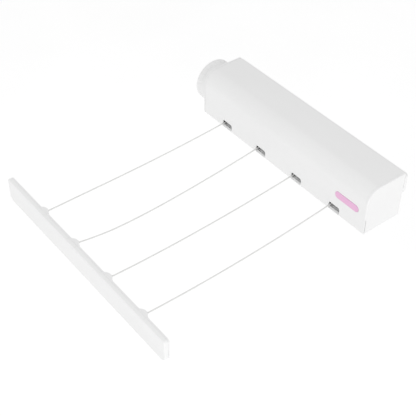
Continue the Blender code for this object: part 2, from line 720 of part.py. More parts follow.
def knob():
    """A cup over the ratchet, with a hub that slides on the shaft's square end."""
    edge = arc((KNOB_RADIUS - 0.0065, KNOB_HEIGHT - 0.005), 0.005, 90, 10, 6)
    seat = KNOB_HEIGHT - 0.0026
    ceiling = KNOB_HEIGHT - 0.0035
    profile = [(0, 0.0080), (0.0076, 0.0080), (0.0076, seat), (0.0105, seat), (0.0105, KNOB_HEIGHT - 0.0004)]
    profile += [(0.0200, KNOB_HEIGHT - 0.0001)] + edge
    profile += [(KNOB_RADIUS, 0.0010), (0.0330, 0.0010), (0.0318, ceiling), (HUB_RADIUS, ceiling)]
    profile += [(HUB_RADIUS, 0.0018), (0, 0.0018)]
    piece = turned("knob", profile, KNOB_AXES, KNOB_ORIGIN, 48, closed=False)
    half = SQUARE / 2 + GAP
    bore = box("bore", (-CAP_FACE - 0.009, AXIS.y - half, AXIS.z - half),
               (-CAP_FACE - 0.001, AXIS.y + half, AXIS.z + half))
    cut(piece, bore)
    return finish(piece, "white_plastic")


def knob_cap():
    low = KNOB_HEIGHT - 0.0023
    top = KNOB_HEIGHT - 0.0001
    profile = [(0, top), (0.0095, top - 0.0001), (0.0102, top - 0.0007), (0.0102, low), (0, low)]
    return finish(turned("knob_cap", profile, KNOB_AXES, KNOB_ORIGIN, 32, closed=False), "white_plastic")


def ratchet_ring():
    """Saw teeth with radial faces that meet the pawl when the roller pays line out."""
    pitch = 360 / TEETH
    outline = []
    for k in range(TEETH):
        outline.append(polar(TOOTH_TIP, k * pitch))
        outline.append(polar(TOOTH_ROOT, k * pitch + 0.4))
    bore = arc((0, 0), HUB_RADIUS + GAP, 0, 345, 23)
    piece = outline_solid("ratchet_ring", [outline, bore], RING_LOW, RING_HIGH, KNOB_AXES, KNOB_ORIGIN)
    return finish(piece, "grey_plastic")


def pawl():
    """A lever whose tip stands behind a tooth's radial face once the ring is pulled level with it."""
    a = math.radians(PIVOT_ANGLE)
    pivot = (PAWL_PIVOT * math.cos(a), PAWL_PIVOT * math.sin(a))
    outline = [(0.0176, 0.00045), (0.0216, 0.00045), (0.0232, 0.0080)]
    outline += arc(pivot, PAWL_ROUND, -10, 215, 12)
    outline += [(0.0181, 0.0106)]
    at = on_knob(*polar(PAWL_PIVOT, PIVOT_ANGLE))
    local = [(x - pivot[0], y - pivot[1]) for x, y in outline]
    piece = outline_solid("pawl", [turn_points(local), arc((0, 0), PIVOT_BORE, 0, 330, 11)],
                          PAWL_LOW, PAWL_HIGH, KNOB_AXES, at)
    return finish(piece, "grey_plastic")


def pawl_pin():
    profile = [(0, 0.0132), (0.0030, 0.0132), (0.0030, 0.0122), (0.0020, 0.0122), (0.0020, -0.0029),
               (0, -0.0029)]
    at = on_knob(*polar(PAWL_PIVOT, PIVOT_ANGLE))
    return finish(turned("pawl_pin", profile, KNOB_AXES, at, 16, closed=False), "steel")


def pawl_spring():
    """A leaf that presses on the pawl's outer edge."""
    path = [(LEAF_RADIUS, -0.0108), (LEAF_RADIUS, LEAF_END), (0.0251, -0.0020), (0.0244, 0.0030)]
    path.append((0.0237, 0.0066))
    leaf = turn_points(ribbon(path, LEAF_THICK))
    piece = outline_solid("pawl_spring", [leaf], PAWL_LOW, PAWL_HIGH - GAP, KNOB_AXES, KNOB_ORIGIN)
    return finish(piece, "steel")


def shaft_fasteners():
    """The washer and screw on the shaft's end, which stop the knob from coming off."""
    washer = ring("shaft_washer", 0.0069, 0.0023, 0.0150, 0.0160, KNOB_AXES, KNOB_ORIGIN, 20)
    finish(washer, "steel")
    profile = [(0, 0.0188), (0.0036, 0.0188), (0.0045, 0.0178), (0.0045, 0.0163), (0.0020, 0.0163),
               (0.0020, 0.0060), (0, 0.0050)]
    finish(turned("shaft_screw", profile, KNOB_AXES, KNOB_ORIGIN, 16, closed=False), "steel")


def bar_outline(inset=0.0):
    right = BAR_LEFT + BAR_LENGTH
    high = BAR_LOW + BAR_HEIGHT
    return rounded(BAR_LEFT + inset, BAR_LOW + inset, right - inset, high - inset,
                   BAR_LOW_CORNER - inset, BAR_TOP_CORNER - inset, 6)


def bar_screw_places():
    return [(x, BAR_BACK, BAR_LOW + BAR_SCREW_UP) for x in BAR_SCREW_X]


def bar_front():
    """The bar's tray: its face, its edges, and four posts for the screws."""
    deep = BAR_DEPTH - BAR_BACK_THICK - GAP
    tray = outline_solid("bar_front", [bar_outline()], -deep, 0, ALONG_Y, (0, BAR_FRONT, 0))
    bevel(tray, BAR_FACE_BEVEL, 2)
    rim = bar_outline(BAR_RIM)
    pocket = outline_solid("pocket", [rim], -TRAY_CUT, -BAR_WALL, ALONG_Y, (0, BAR_FRONT, 0))
    cut(tray, pocket)
    for x, _, z in bar_screw_places():
        at = (x, BAR_FRONT, z)
        join(tray, cylinder("post", BAR_POST_RADIUS, -deep, -BITE, ALONG_Y, at, 16))
        cut(tray, cylinder("pilot", BAR_PILOT_RADIUS, *BAR_PILOT_ENDS, ALONG_Y, at, 12))
    return finish(tray, "white_plastic")


def bar_back():
    """The bar's back plate, with a half-round lug for each line."""
    plate = outline_solid("bar_back", [bar_outline()], 0, BAR_BACK_THICK, ALONG_Y, (0, BAR_BACK, 0))
    bevel(plate, BAR_BACK_BEVEL, 1)
    centre_y = BAR_BACK + LUG_OUT - LUG_RADIUS
    for x in LANE_X:
        lug = arc((x, centre_y), LUG_RADIUS, 22, 158, 12)
        top = BOTTOM + BAR_TOP
        join(plate, outline_solid("lug", [lug], top - LUG_HEIGHT, top - LUG_UNDER_TOP, ALONG_Z))
        hole_at = (x + HOLE_SHIFT, BAR_BACK, HOLE_Z)
        ends = (-BAR_HOLE_CUT, BAR_HOLE_CUT)
        cut(plate, cylinder("hole", LINE_RADIUS + GAP, *ends, ALONG_Y, hole_at, 12))
    for place in bar_screw_places():
        sink = [(0, 0.001), (0.0037, 0.001), (0.0017, -0.0016), (0.0017, -0.004), (0, -0.004)]
        cut(plate, turned("sink", sink, FROM_BEHIND, place, 12, closed=False))
    return finish(plate, "white_plastic")


def bar_screws():
    profile = [(0, 0), (0.0024, 0), (0.0011, -0.0015), (0.0011, -0.0060), (0, -0.0066)]
    for k, place in enumerate(bar_screw_places()):
        finish(turned(f"bar_screw_{k + 1}", profile, FROM_BEHIND, place, 10, closed=False), "steel")


def line_knots():
    """The knot on each line's end, inside the bar, behind its lug's hole."""
    y = BAR_BACK - BAR_BACK_THICK - GAP - KNOT_RADIUS
    for k, x in enumerate(LANE_X):
        profile = arc((0, 0), KNOT_RADIUS, 90, -90, 8)
        at = (x + HOLE_SHIFT, y, HOLE_Z)
        finish(turned(f"line_knot_{k + 1}", profile, ALONG_Y, at, 12, closed=False), "line")


wall_plate()
back_cover()
front_cover()
left_end_cap()
right_end_cap()
badge()
cover_screws()
line_rail()
guide_rod()
bushes()
roller_shaft()
spools()
spacers()
shaft_fasteners()
knob()
knob_cap()
ratchet_ring()
pawl()
pawl_pin()
pawl_spring()
bar_front()
bar_back()
bar_screws()
line_knots()
lines()
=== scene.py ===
"""The looks of a wall-mounted retractable clothesline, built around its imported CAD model.
Metres, +Z up. The wall is the plane Y = 0, the room is at -Y, and X runs along the housing."""

import math

import bmesh
import bpy
from mathutils import Matrix, Vector


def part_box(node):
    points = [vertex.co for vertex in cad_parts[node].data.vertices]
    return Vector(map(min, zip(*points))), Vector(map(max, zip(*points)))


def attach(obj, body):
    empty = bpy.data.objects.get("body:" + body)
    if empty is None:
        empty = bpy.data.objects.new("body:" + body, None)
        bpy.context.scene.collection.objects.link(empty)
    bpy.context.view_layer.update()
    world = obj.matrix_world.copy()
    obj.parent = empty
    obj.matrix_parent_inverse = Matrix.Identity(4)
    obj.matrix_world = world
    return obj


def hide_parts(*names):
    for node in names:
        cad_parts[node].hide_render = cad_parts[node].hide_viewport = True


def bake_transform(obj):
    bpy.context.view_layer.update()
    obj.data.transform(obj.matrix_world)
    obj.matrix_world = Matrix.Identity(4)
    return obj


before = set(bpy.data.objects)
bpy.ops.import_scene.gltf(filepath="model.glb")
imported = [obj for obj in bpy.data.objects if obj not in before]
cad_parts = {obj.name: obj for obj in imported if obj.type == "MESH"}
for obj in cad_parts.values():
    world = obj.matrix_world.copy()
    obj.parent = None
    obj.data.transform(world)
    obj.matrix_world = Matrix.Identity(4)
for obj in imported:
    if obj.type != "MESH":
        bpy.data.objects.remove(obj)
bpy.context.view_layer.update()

# Camera
EYE = Vector((0.8400, -0.8856, 0.9090))
YAW = 51.596
PITCH = 42.198
ROLL = 0.755
LENS = 82.47
SENSOR = 36.0

# Housing, as in the CAD model
GAP = 0.0003
WALL = 0.0022
TOP_RADIUS = 0.024
LIP_RADIUS = 0.003
LEAST_RADIUS = 0.0004
CAP_THICK = 0.004
RIM_THICK = 0.0015
RIM_DEPTH = 0.006
SOCKET_RADIUS = 0.0052
SOCKET_DEPTH = 0.005
BOSS_RADIUS = 0.0135
LEFT_BOSS = 0.008
RIGHT_BOSS = 0.012
BUSH_RADIUS = 0.0100
BACK_THICK = 0.0025
TAB_HEIGHT = 0.027
SLOT_WIDTH = 0.0228
SLOT_LOW = 0.004
SLOT_HIGH = 0.0146
SLOT_CORNER = 0.0035
SLOT_LOW_CORNER = 0.0008
SILL_DEPTH = 0.0042
SILL_OVER_SLOT = 0.0005
LANES = 4
LANE_PITCH = 0.0848
LANE_X = [(k - (LANES - 1) / 2) * LANE_PITCH for k in range(LANES)]

COVER_LOW, COVER_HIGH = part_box("front_cover")
BOTTOM, TOP = COVER_LOW.z, COVER_HIGH.z
FRONT, BACK = COVER_LOW.y, COVER_HIGH.y
CAP_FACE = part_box("right_end_cap")[1].x
CAP_INNER = CAP_FACE - CAP_THICK
COVER_END = CAP_INNER - GAP
KNOB_LOW, KNOB_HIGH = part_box("knob")
AXIS = Vector((0, (KNOB_LOW.y + KNOB_HIGH.y) / 2, (KNOB_LOW.z + KNOB_HIGH.z) / 2))
BADGE_LOW, BADGE_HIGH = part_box("badge")

# How far the looks fill the gaps between the CAD model's covers
SEAM_FILL = 0.00022
HAIRLINE = 0.00004

# Wall plate and back cover, as in the CAD model
PLATE_THICK = 0.0054
PLATE_CORNER = 0.009
PLATE_TOP_CORNER = 0.004
PLATE_BEVEL = 0.0008
WALL_HOLE_X = (-0.110, -0.055, 0.055, 0.110)
WALL_HOLE_RADIUS = 0.0025
WALL_SINK_RADIUS = 0.0062
WALL_SINK_FROM = 0.0030
WALL_CUT = 0.0070
HOOK_X = 0.150
HOOK_HALF = 0.007
HOOK_ROOT = 0.004
HOOK_REACH = 0.011
STEM_LOW = 0.002
STEM_HIGH = 0.006
HOOK_LOW = 0.0045
HOOK_HIGH = 0.011
HOOK_SLOT_LOW = -0.0035
HOOK_SLOT_CUT = 0.005
FOOT_HALF = 0.150
FOOT_LOW = 0.010
FOOT_HEIGHT = 0.003

# Ratchet, as in the CAD model; heights are measured outwards from the left cap's face
PAWL_PIVOT = 0.0265
PAWL_LOW = 0.0084
PAWL_HIGH = 0.0119
PAWL_ROUND = 0.0038
PIVOT_BORE = 0.0023
PIVOT_DEPTH = 0.0032
SPRING_TURN = 45
SPRING_POST_RADII = (0.0238, 0.0275)
SPRING_POST_SIDES = (-0.0110, -0.0078)
SLIT_TOP = 0.014
SLIT_HALF = 0.0006
SLIT_SIDES = (-0.0120, -0.0070)
LEAF_RADIUS = 0.0256
LEAF_THICK = 0.0005
LEAF_STEP = 0.0006

# The leaf's middle line, from inside its post to its tip on the pawl, in the axes turned by SPRING_TURN
LEAF_PATH = [
    (LEAF_RADIUS, -0.0108),
    (LEAF_RADIUS, -0.0070),
    (0.0251, -0.0020),
    (0.0244, 0.0030),
    (0.0237, 0.0066),
]

# Roller and lines, as in the CAD model
WOUND_RADIUS = 0.0184
CORE_RADIUS = 0.012
LINE_RADIUS = 0.0011
LINE_ABOVE_BOTTOM = 0.0082
ROD_RADIUS = 0.0035
ROD_REACH = 0.0054
LINE_LOW = BOTTOM + LINE_ABOVE_BOTTOM
LINE_DROP = WOUND_RADIUS + GAP + LINE_RADIUS
ROD = Vector((0, AXIS.y + LINE_DROP - ROD_REACH, LINE_LOW + ROD_REACH))
LINE_OFFSET = -0.0095
DIAGONAL = 0.7071

# Pull bar, as in the CAD model
BAR_LOW, BAR_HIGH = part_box("bar_front")
BAR_FRONT = BAR_LOW.y
BAR_DEPTH = 0.0092
BAR_BACK = BAR_FRONT + BAR_DEPTH
BAR_BACK_THICK = 0.0026
BAR_LOW_CORNER = 0.010
BAR_TOP_CORNER = 0.004
LUG_RADIUS = 0.0112
LUG_OUT = 0.0055
LUG_HEIGHT = 0.008
HOLE_SHIFT = 0.0015
HOLE_ABOVE_BOTTOM = 0.0086
HOLE_Z = BOTTOM + HOLE_ABOVE_BOTTOM

# A line's route from its winding to its knot: offset from its lane, Y, Z, and shares of its sag and sway.
LINE_ROUTE = [
    (LINE_OFFSET, AXIS.y + LINE_DROP, AXIS.z, 0, 0),
    (LINE_OFFSET, AXIS.y + LINE_DROP, AXIS.z - 0.010, 0, 0),
    (LINE_OFFSET, AXIS.y + LINE_DROP, ROD.z + 0.006, 0, 0),
    (LINE_OFFSET, AXIS.y + LINE_DROP, ROD.z, 0, 0),
    (LINE_OFFSET, ROD.y + ROD_REACH * DIAGONAL, ROD.z - ROD_REACH * DIAGONAL, 0, 0),
    (LINE_OFFSET, ROD.y, LINE_LOW, 0, 0),
    (LINE_OFFSET, ROD.y - 0.010, LINE_LOW, 0, 0),
    (LINE_OFFSET, ROD.y - 0.030, LINE_LOW, 0, 0),
    (LINE_OFFSET, FRONT, LINE_LOW, 0.02, 0),
    (-0.0088, -0.105, LINE_LOW, 0.30, 0.06),
    (-0.0078, -0.140, LINE_LOW, 0.60, 0.18),
    (-0.0065, -0.185, LINE_LOW, 0.87, 0.36),
    (-0.0047, -0.245, LINE_LOW, 1.00, 0.65),
    (-0.0027, -0.310, LINE_LOW, 0.87, 0.92),
    (-0.0008, -0.365, LINE_LOW + 0.0002, 0.55, 0.90),
    (0.0007, -0.402, HOLE_Z - 0.0001, 0.22, 0.42),
    (HOLE_SHIFT, BAR_BACK + LUG_OUT, HOLE_Z, 0.0, 0),
    (HOLE_SHIFT, BAR_BACK - BAR_BACK_THICK, HOLE_Z, 0, 0),
]
LINE_SAG = (0.0046, 0.0072, 0.0054, 0.0062)
LINE_SWAY = (-0.0010, 0.0065, 0.0010, 0.0008)

# Local axes of the pieces, as columns
ALONG_X = Matrix(((0, 0, 1), (1, 0, 0), (0, 1, 0)))
ALONG_Y = Matrix(((1, 0, 0), (0, 0, -1), (0, 1, 0)))
FROM_BEHIND = ALONG_Y @ Matrix.Rotation(math.pi, 3, "X")
ALONG_Z = Matrix.Identity(3)
KNOB_AXES = Matrix(((0, 0, -1), (-1, 0, 0), (0, 1, 0)))
KNOB_ORIGIN = Vector((-CAP_FACE, AXIS.y, AXIS.z))


# ---------------------------------------------------------------- camera

def camera():
    """The view: from the right, above and in front, a little rolled."""
    yaw, pitch, roll = (math.radians(a) for a in (YAW, PITCH, ROLL))
    forward = Vector((-math.sin(yaw) * math.cos(pitch), math.cos(yaw) * math.cos(pitch), -math.sin(pitch)))
    level = Vector((math.cos(yaw), math.sin(yaw), 0))
    upright = level.cross(forward)
    right = level * math.cos(roll) + upright * math.sin(roll)
    up = upright * math.cos(roll) - level * math.sin(roll)
    lens = bpy.data.cameras.new("camera")
    lens.lens = LENS
    lens.sensor_width = SENSOR
    lens.clip_start = 0.01
    lens.clip_end = 50
    obj = bpy.data.objects.new("camera", lens)
    obj.matrix_world = Matrix.Translation(EYE) @ Matrix((right, up, -forward)).transposed().to_4x4()
    bpy.context.scene.collection.objects.link(obj)
    bpy.context.scene.camera = obj


camera()


# ---------------------------------------------------------------- materials

PLAIN = (1.0, 1.0, 1.0)


def shader_nodes(name):
    """A new material with its nodes, its links and its shader."""
    made = bpy.data.materials.new(name)
    made.use_nodes = True
    nodes = made.node_tree.nodes
    return made, nodes, made.node_tree.links, nodes["Principled BSDF"]


def darker(colour, share):
    return tuple(c * share for c in colour)


def noise(nodes, links, place, scale, detail=2.0, stretch=None):
    """A noise texture in the object's own space, stretched along its axes where wanted."""
    texture = nodes.new("ShaderNodeTexNoise")
    texture.inputs["Scale"].default_value = scale
    texture.inputs["Detail"].default_value = detail
    source = place.outputs["Object"]
    if stretch:
        mapping = nodes.new("ShaderNodeMapping")
        mapping.inputs["Scale"].default_value = stretch
        links.new(source, mapping.inputs["Vector"])
        source = mapping.outputs["Vector"]
    links.new(source, texture.inputs["Vector"])
    return texture.outputs["Fac"]


def ramp(nodes, links, value, low, high):
    """Two colours, mixed by a value from 0.3 to 0.7."""
    made = nodes.new("ShaderNodeValToRGB")
    made.color_ramp.elements[0].position = 0.3
    made.color_ramp.elements[1].position = 0.7
    made.color_ramp.elements[0].color = (*low, 1)
    made.color_ramp.elements[1].color = (*high, 1)
    links.new(value, made.inputs["Fac"])
    return made.outputs["Color"]


def spread(nodes, links, value, low, high):
    """A value from 0.25 to 0.75 carried over to another range."""
    made = nodes.new("ShaderNodeMapRange")
    made.inputs["From Min"].default_value = 0.25
    made.inputs["From Max"].default_value = 0.75
    made.inputs["To Min"].default_value = low
    made.inputs["To Max"].default_value = high
    links.new(value, made.inputs["Value"])
    return made.outputs["Result"]


def multiplied(nodes, links, first, second):
    """One colour times another."""
    made = nodes.new("ShaderNodeMix")
    made.data_type = "RGBA"
    made.blend_type = "MULTIPLY"
    made.inputs["Factor"].default_value = 1.0
    links.new(first, made.inputs["A"])
    links.new(second, made.inputs["B"])
    return made.outputs["Result"]


def relief(nodes, links, height, strength, distance, before=None):
    """Bumps from a height, on top of the bumps made before."""
    made = nodes.new("ShaderNodeBump")
    made.inputs["Strength"].default_value = strength
    made.inputs["Distance"].default_value = distance
    links.new(height, made.inputs["Height"])
    if before:
        links.new(before, made.inputs["Normal"])
    return made.outputs["Normal"]


def moulded(name, colour, rough, grain=0.10, gloss=0.0):
    """Injection-moulded plastic: fine spark texture, faint flow marks, and uneven sheen."""
    made, nodes, links, shader = shader_nodes(name)
    place = nodes.new("ShaderNodeTexCoord")
    flow = noise(nodes, links, place, scale=9.0, detail=3.0, stretch=(0.45, 1.0, 1.0))
    speck = noise(nodes, links, place, scale=1500.0, detail=1.0)
    dull = noise(nodes, links, place, scale=55.0, detail=4.0)
    scratch = noise(nodes, links, place, scale=140.0, detail=3.0, stretch=(0.06, 1.0, 1.0))
    fine = noise(nodes, links, place, scale=2300.0, detail=2.0)
    coarse = noise(nodes, links, place, scale=620.0, detail=2.0)
    tone = ramp(nodes, links, flow, darker(colour, 0.965), colour)
    dot = ramp(nodes, links, speck, darker(PLAIN, 0.975), PLAIN)
    links.new(multiplied(nodes, links, tone, dot), shader.inputs["Base Color"])
    uneven = nodes.new("ShaderNodeMath")
    uneven.operation = "ADD"
    links.new(spread(nodes, links, dull, rough - 0.06, rough + 0.06), uneven.inputs[0])
    links.new(spread(nodes, links, scratch, -0.05, 0.05), uneven.inputs[1])
    links.new(uneven.outputs["Value"], shader.inputs["Roughness"])
    bumps = relief(nodes, links, coarse, strength=grain, distance=0.0002)
    bumps = relief(nodes, links, fine, strength=grain, distance=0.0001, before=bumps)
    links.new(bumps, shader.inputs["Normal"])
    shader.inputs["Specular IOR Level"].default_value = 0.45
    shader.inputs["Coat Weight"].default_value = gloss
    shader.inputs["Coat Roughness"].default_value = 0.12
    return made


def metal(name, colour, rough, stretch):
    """Plated steel, with drawing marks along one axis."""
    made, nodes, links, shader = shader_nodes(name)
    place = nodes.new("ShaderNodeTexCoord")
    drawn = noise(nodes, links, place, scale=900.0, detail=3.0, stretch=stretch)
    cloud = noise(nodes, links, place, scale=120.0, detail=3.0)
    tone = ramp(nodes, links, cloud, darker(colour, 0.86), colour)
    links.new(tone, shader.inputs["Base Color"])
    links.new(spread(nodes, links, drawn, rough - 0.08, rough + 0.12), shader.inputs["Roughness"])
    bumps = relief(nodes, links, drawn, strength=0.25, distance=0.0001)
    links.new(bumps, shader.inputs["Normal"])
    shader.inputs["Metallic"].default_value = 1.0
    return made


def fibre(name, colour):
    """Twisted synthetic line: fine filaments and soft patches of tone."""
    made, nodes, links, shader = shader_nodes(name)
    place = nodes.new("ShaderNodeTexCoord")
    filament = noise(nodes, links, place, scale=3200.0, detail=3.0, stretch=(1.0, 0.22, 1.0))
    patch = noise(nodes, links, place, scale=60.0, detail=3.0)
    tone = ramp(nodes, links, patch, darker(colour, 0.93), colour)
    hair = ramp(nodes, links, filament, darker(PLAIN, 0.86), PLAIN)
    links.new(multiplied(nodes, links, tone, hair), shader.inputs["Base Color"])
    links.new(spread(nodes, links, filament, 0.62, 0.88), shader.inputs["Roughness"])
    bumps = relief(nodes, links, filament, strength=0.5, distance=0.0002)
    links.new(bumps, shader.inputs["Normal"])
    shader.inputs["Sheen Weight"].default_value = 0.25
    shader.inputs["Sheen Roughness"].default_value = 0.5
    return made


WHITE = moulded("white_moulding", (0.88, 0.88, 0.88), rough=0.42)
WHITE_BAR = moulded("white_bar_moulding", (0.90, 0.90, 0.90), rough=0.40)
WHITE_KNOB = moulded("white_knob_moulding", (0.87, 0.87, 0.87), rough=0.36, grain=0.06)
GREY = moulded("grey_moulding", (0.35, 0.36, 0.38), rough=0.48, grain=0.16)
PINK = moulded("pink_badge", (0.83, 0.47, 0.70), rough=0.34, grain=0.05, gloss=0.3)
STEEL = metal("zinc_steel", (0.66, 0.66, 0.68), rough=0.32, stretch=(1.0, 1.0, 0.1))
SHAFT_STEEL = metal("drawn_steel", (0.60, 0.60, 0.62), rough=0.30, stretch=(0.04, 1.0, 1.0))
LINE = fibre("line_fibre", (0.83, 0.83, 0.82))


# ---------------------------------------------------------------- mesh helpers

# How far a joined shape goes into its neighbour, or a cutter past a face; and far past everything
BITE = 0.001
BEYOND = 0.01
CUTTER_PROUD = 0.002
LEAST_CORNER = 0.0002
POLE_RADIUS = 1e-7


def place_of(axes, at=(0, 0, 0)):
    return Matrix.Translation(Vector(at)) @ axes.to_4x4()


def loft(name, rings, closed=False):
    """A closed surface through rings of equally many points; a ring of one point is a pole.
    The first and last rings are filled, or joined to each other where the loft is closed."""
    shape = bmesh.new()
    rows = [[shape.verts.new(p) for p in ring] for ring in rings]
    pairs = list(zip(rows, rows[1:]))
    if closed:
        pairs.append((rows[-1], rows[0]))
    for a, b in pairs:
        count = max(len(a), len(b))
        for i in range(count):
            j = (i + 1) % count
            if len(a) == 1:
                shape.faces.new((a[0], b[i], b[j]))
            elif len(b) == 1:
                shape.faces.new((a[i], a[j], b[0]))
            else:
                shape.faces.new((a[i], a[j], b[j], b[i]))
    if not closed:
        for row in (rows[0], rows[-1]):
            if len(row) > 2:
                shape.faces.new(row)
    bmesh.ops.recalc_face_normals(shape, faces=shape.faces)
    mesh = bpy.data.meshes.new(name)
    shape.to_mesh(mesh)
    shape.free()
    obj = bpy.data.objects.new(name, mesh)
    bpy.context.scene.collection.objects.link(obj)
    return obj


def settled(obj):
    """The object with its modifiers applied."""
    shown = obj.evaluated_get(bpy.context.evaluated_depsgraph_get())
    mesh = bpy.data.meshes.new_from_object(shown)
    obj.modifiers.clear()
    obj.data = mesh
    return obj


def combined(obj, others, operation):
    """The object after a boolean with each of the others, which are used up."""
    for other in others:
        step = obj.modifiers.new("boolean", "BOOLEAN")
        step.operation = operation
        step.solver = "EXACT"
        step.object = other
    settled(obj)
    for other in others:
        bpy.data.objects.remove(other)
    return obj


def cut(obj, *others):
    return combined(obj, others, "DIFFERENCE")


def join(obj, *others):
    return combined(obj, others, "UNION")


def dress(obj, material, body, node, angle=32):
    """Smooth shading, a material, and the CAD body and node that the piece stands for."""
    obj.data.materials.clear()
    obj.data.materials.append(material)
    obj.data.shade_smooth()
    obj.data.set_sharp_from_angle(angle=math.radians(angle))
    weighted = obj.modifiers.new("weighted_normals", "WEIGHTED_NORMAL")
    weighted.keep_sharp = True
    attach(obj, body)
    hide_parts(node)
    return obj


def arc(centre, radius, start, end, steps):
    """Points on a circle, from one angle to another, in degrees."""
    angles = [math.radians(start + (end - start) * i / steps) for i in range(steps + 1)]
    return [(centre[0] + radius * math.cos(a), centre[1] + radius * math.sin(a)) for a in angles]


def rounded(x0, y0, x1, y1, low_radius, high_radius, steps=8):
    """A rectangle whose two lower and two upper corners have a radius each."""
    points = arc((x1 - low_radius, y0 + low_radius), low_radius, -90, 0, steps)
    points += arc((x1 - high_radius, y1 - high_radius), high_radius, 0, 90, steps)
    points += arc((x0 + high_radius, y1 - high_radius), high_radius, 90, 180, steps)
    points += arc((x0 + low_radius, y0 + low_radius), low_radius, 180, 270, steps)
    return points


def at_height(points, height, frame_of):
    """A flat outline as a ring in the world, at a height on the third local axis."""
    return [frame_of @ Vector((x, y, height)) for x, y in points]


def edge_steps(radius, steps, reach=None):
    """(inset, depth) pairs down a rounded edge, from its face to its side."""
    reach = radius if reach is None else reach
    angles = [math.pi / 2 * i / steps for i in range(steps + 1)]
    return [(reach * (1 - math.sin(a)), radius * (1 - math.cos(a))) for a in angles]


def slab(name, outline, low, high, axes, at=(0, 0, 0), low_edge=0.0, high_edge=0.0, steps=4):
    """A solid of an outline, given as a function of its inset, with its two edges rounded."""
    frame_of = place_of(axes, at)
    rings = []
    low_steps = edge_steps(low_edge, steps) if low_edge else [(0, 0)]
    high_steps = edge_steps(high_edge, steps) if high_edge else [(0, 0)]
    for inset, depth in low_steps:
        rings.append(at_height(outline(inset), low + depth, frame_of))
    for inset, depth in reversed(high_steps):
        rings.append(at_height(outline(inset), high - depth, frame_of))
    return loft(name, rings)


def flared_cutter(outline, depth, edge, axes, at):
    """A cutter that enters a face from local height 0 down to -depth, and rounds the edge it leaves."""
    frame_of = place_of(axes, at)
    rings = [at_height(outline(-edge), CUTTER_PROUD, frame_of)]
    for inset, down in edge_steps(edge, 4):
        rings.append(at_height(outline(-inset), -down, frame_of))
    rings.append(at_height(outline(0), -depth, frame_of))
    return loft("cutter", rings)


def box(name, low, high):
    """A block between two corners in the world."""
    points = [(low[0], low[1]), (high[0], low[1]), (high[0], high[1]), (low[0], high[1])]
    return loft(name, [at_height(points, z, Matrix.Identity(4)) for z in (low[2], high[2])])


def turned(name, profile, axes, at, steps=48, shape=None):
    """A closed or pole-to-pole profile of (radius, height) points turned about the third axis.
    shape(radius, height, angle) gives the radius there, where the piece isn't quite round."""
    frame_of = place_of(axes, at)
    rings = []
    for radius, height in profile:
        if radius < POLE_RADIUS:
            rings.append([frame_of @ Vector((0, 0, height))])
            continue
        ring = []
        for i in range(steps):
            a = 2 * math.pi * i / steps
            r = shape(radius, height, a) if shape else radius
            ring.append(frame_of @ Vector((r * math.cos(a), r * math.sin(a), height)))
        rings.append(ring)
    return loft(name, rings, closed=profile[0][0] > POLE_RADIUS)


def round_outline(radius, steps=32):
    return lambda inset=0.0: arc((0, 0), radius - inset, 0, 360 - 360 / steps, steps - 1)


def plate_outline(low, high, low_radius, high_radius=None):
    """A plate's outline between two points, whose corners keep a least radius as it is inset."""
    top_radius = low_radius if high_radius is None else high_radius

    def outline(inset=0.0):
        return rounded(low[0] + inset, low[1] + inset, high[0] - inset, high[1] - inset,
                       max(low_radius - inset, LEAST_CORNER), max(top_radius - inset, LEAST_CORNER), steps=6)

    return outline


def behind(outline):
    """The same outline for a cutter that comes from the wall's side, where the second axis points down."""
    return lambda inset=0.0: [(x, -z) for x, z in outline(inset)][::-1]


COVER_SCREWS = 6
BAR_SCREWS = 4


def screw_places(kind, count):
    """The middle of each screw's head, from its CAD node."""
    places = []
    for k in range(count):
        low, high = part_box(f"{kind}_{k + 1}")
        places.append(((low.x + high.x) / 2, high.y, (low.z + high.z) / 2))
    return places


# ---------------------------------------------------------------- lines

CURVE_STEPS = 12
RING_STEP = 0.0007
PATH_STEP = 0.0035
RING_POINTS = 18
STRANDS = 3
STRAND_DEPTH = 0.20
STRAND_ROUND = 0.7
LAY_LENGTH = 0.0062


def smooth_path(route):
    """Points on a smooth curve through the route's own points."""
    ends = [2 * route[0] - route[1]] + route + [2 * route[-1] - route[-2]]
    path = []
    for a, b, c, d in zip(ends, ends[1:], ends[2:], ends[3:]):
        start = (c - a) * ((c - b).length / ((c - b).length + (b - a).length))
        stop = (d - b) * ((c - b).length / ((d - c).length + (c - b).length))
        for i in range(CURVE_STEPS):
            t = i / CURVE_STEPS
            path.append(b * (2 * t**3 - 3 * t**2 + 1) + start * (t**3 - 2 * t**2 + t)
                        + c * (3 * t**2 - 2 * t**3) + stop * (t**3 - t**2))
    return path + [route[-1]]


def evenly(path, step):
    """The same path, with points about a step apart."""
    lengths = [0.0]
    for a, b in zip(path, path[1:]):
        lengths.append(lengths[-1] + (b - a).length)
    count = round(lengths[-1] / step)
    points, i = [], 0
    for k in range(count + 1):
        at = lengths[-1] * k / count
        while i < len(path) - 2 and lengths[i + 1] < at:
            i += 1
        share = (at - lengths[i]) / (lengths[i + 1] - lengths[i])
        points.append(path[i].lerp(path[i + 1], share))
    return points


def strand_radius(angle):
    """The outline of three strands twisted together, for the angle about the line's centre."""
    crest = abs(math.cos(STRANDS * angle / 2)) ** STRAND_ROUND
    return LINE_RADIUS * (1 - STRAND_DEPTH + STRAND_DEPTH * crest)


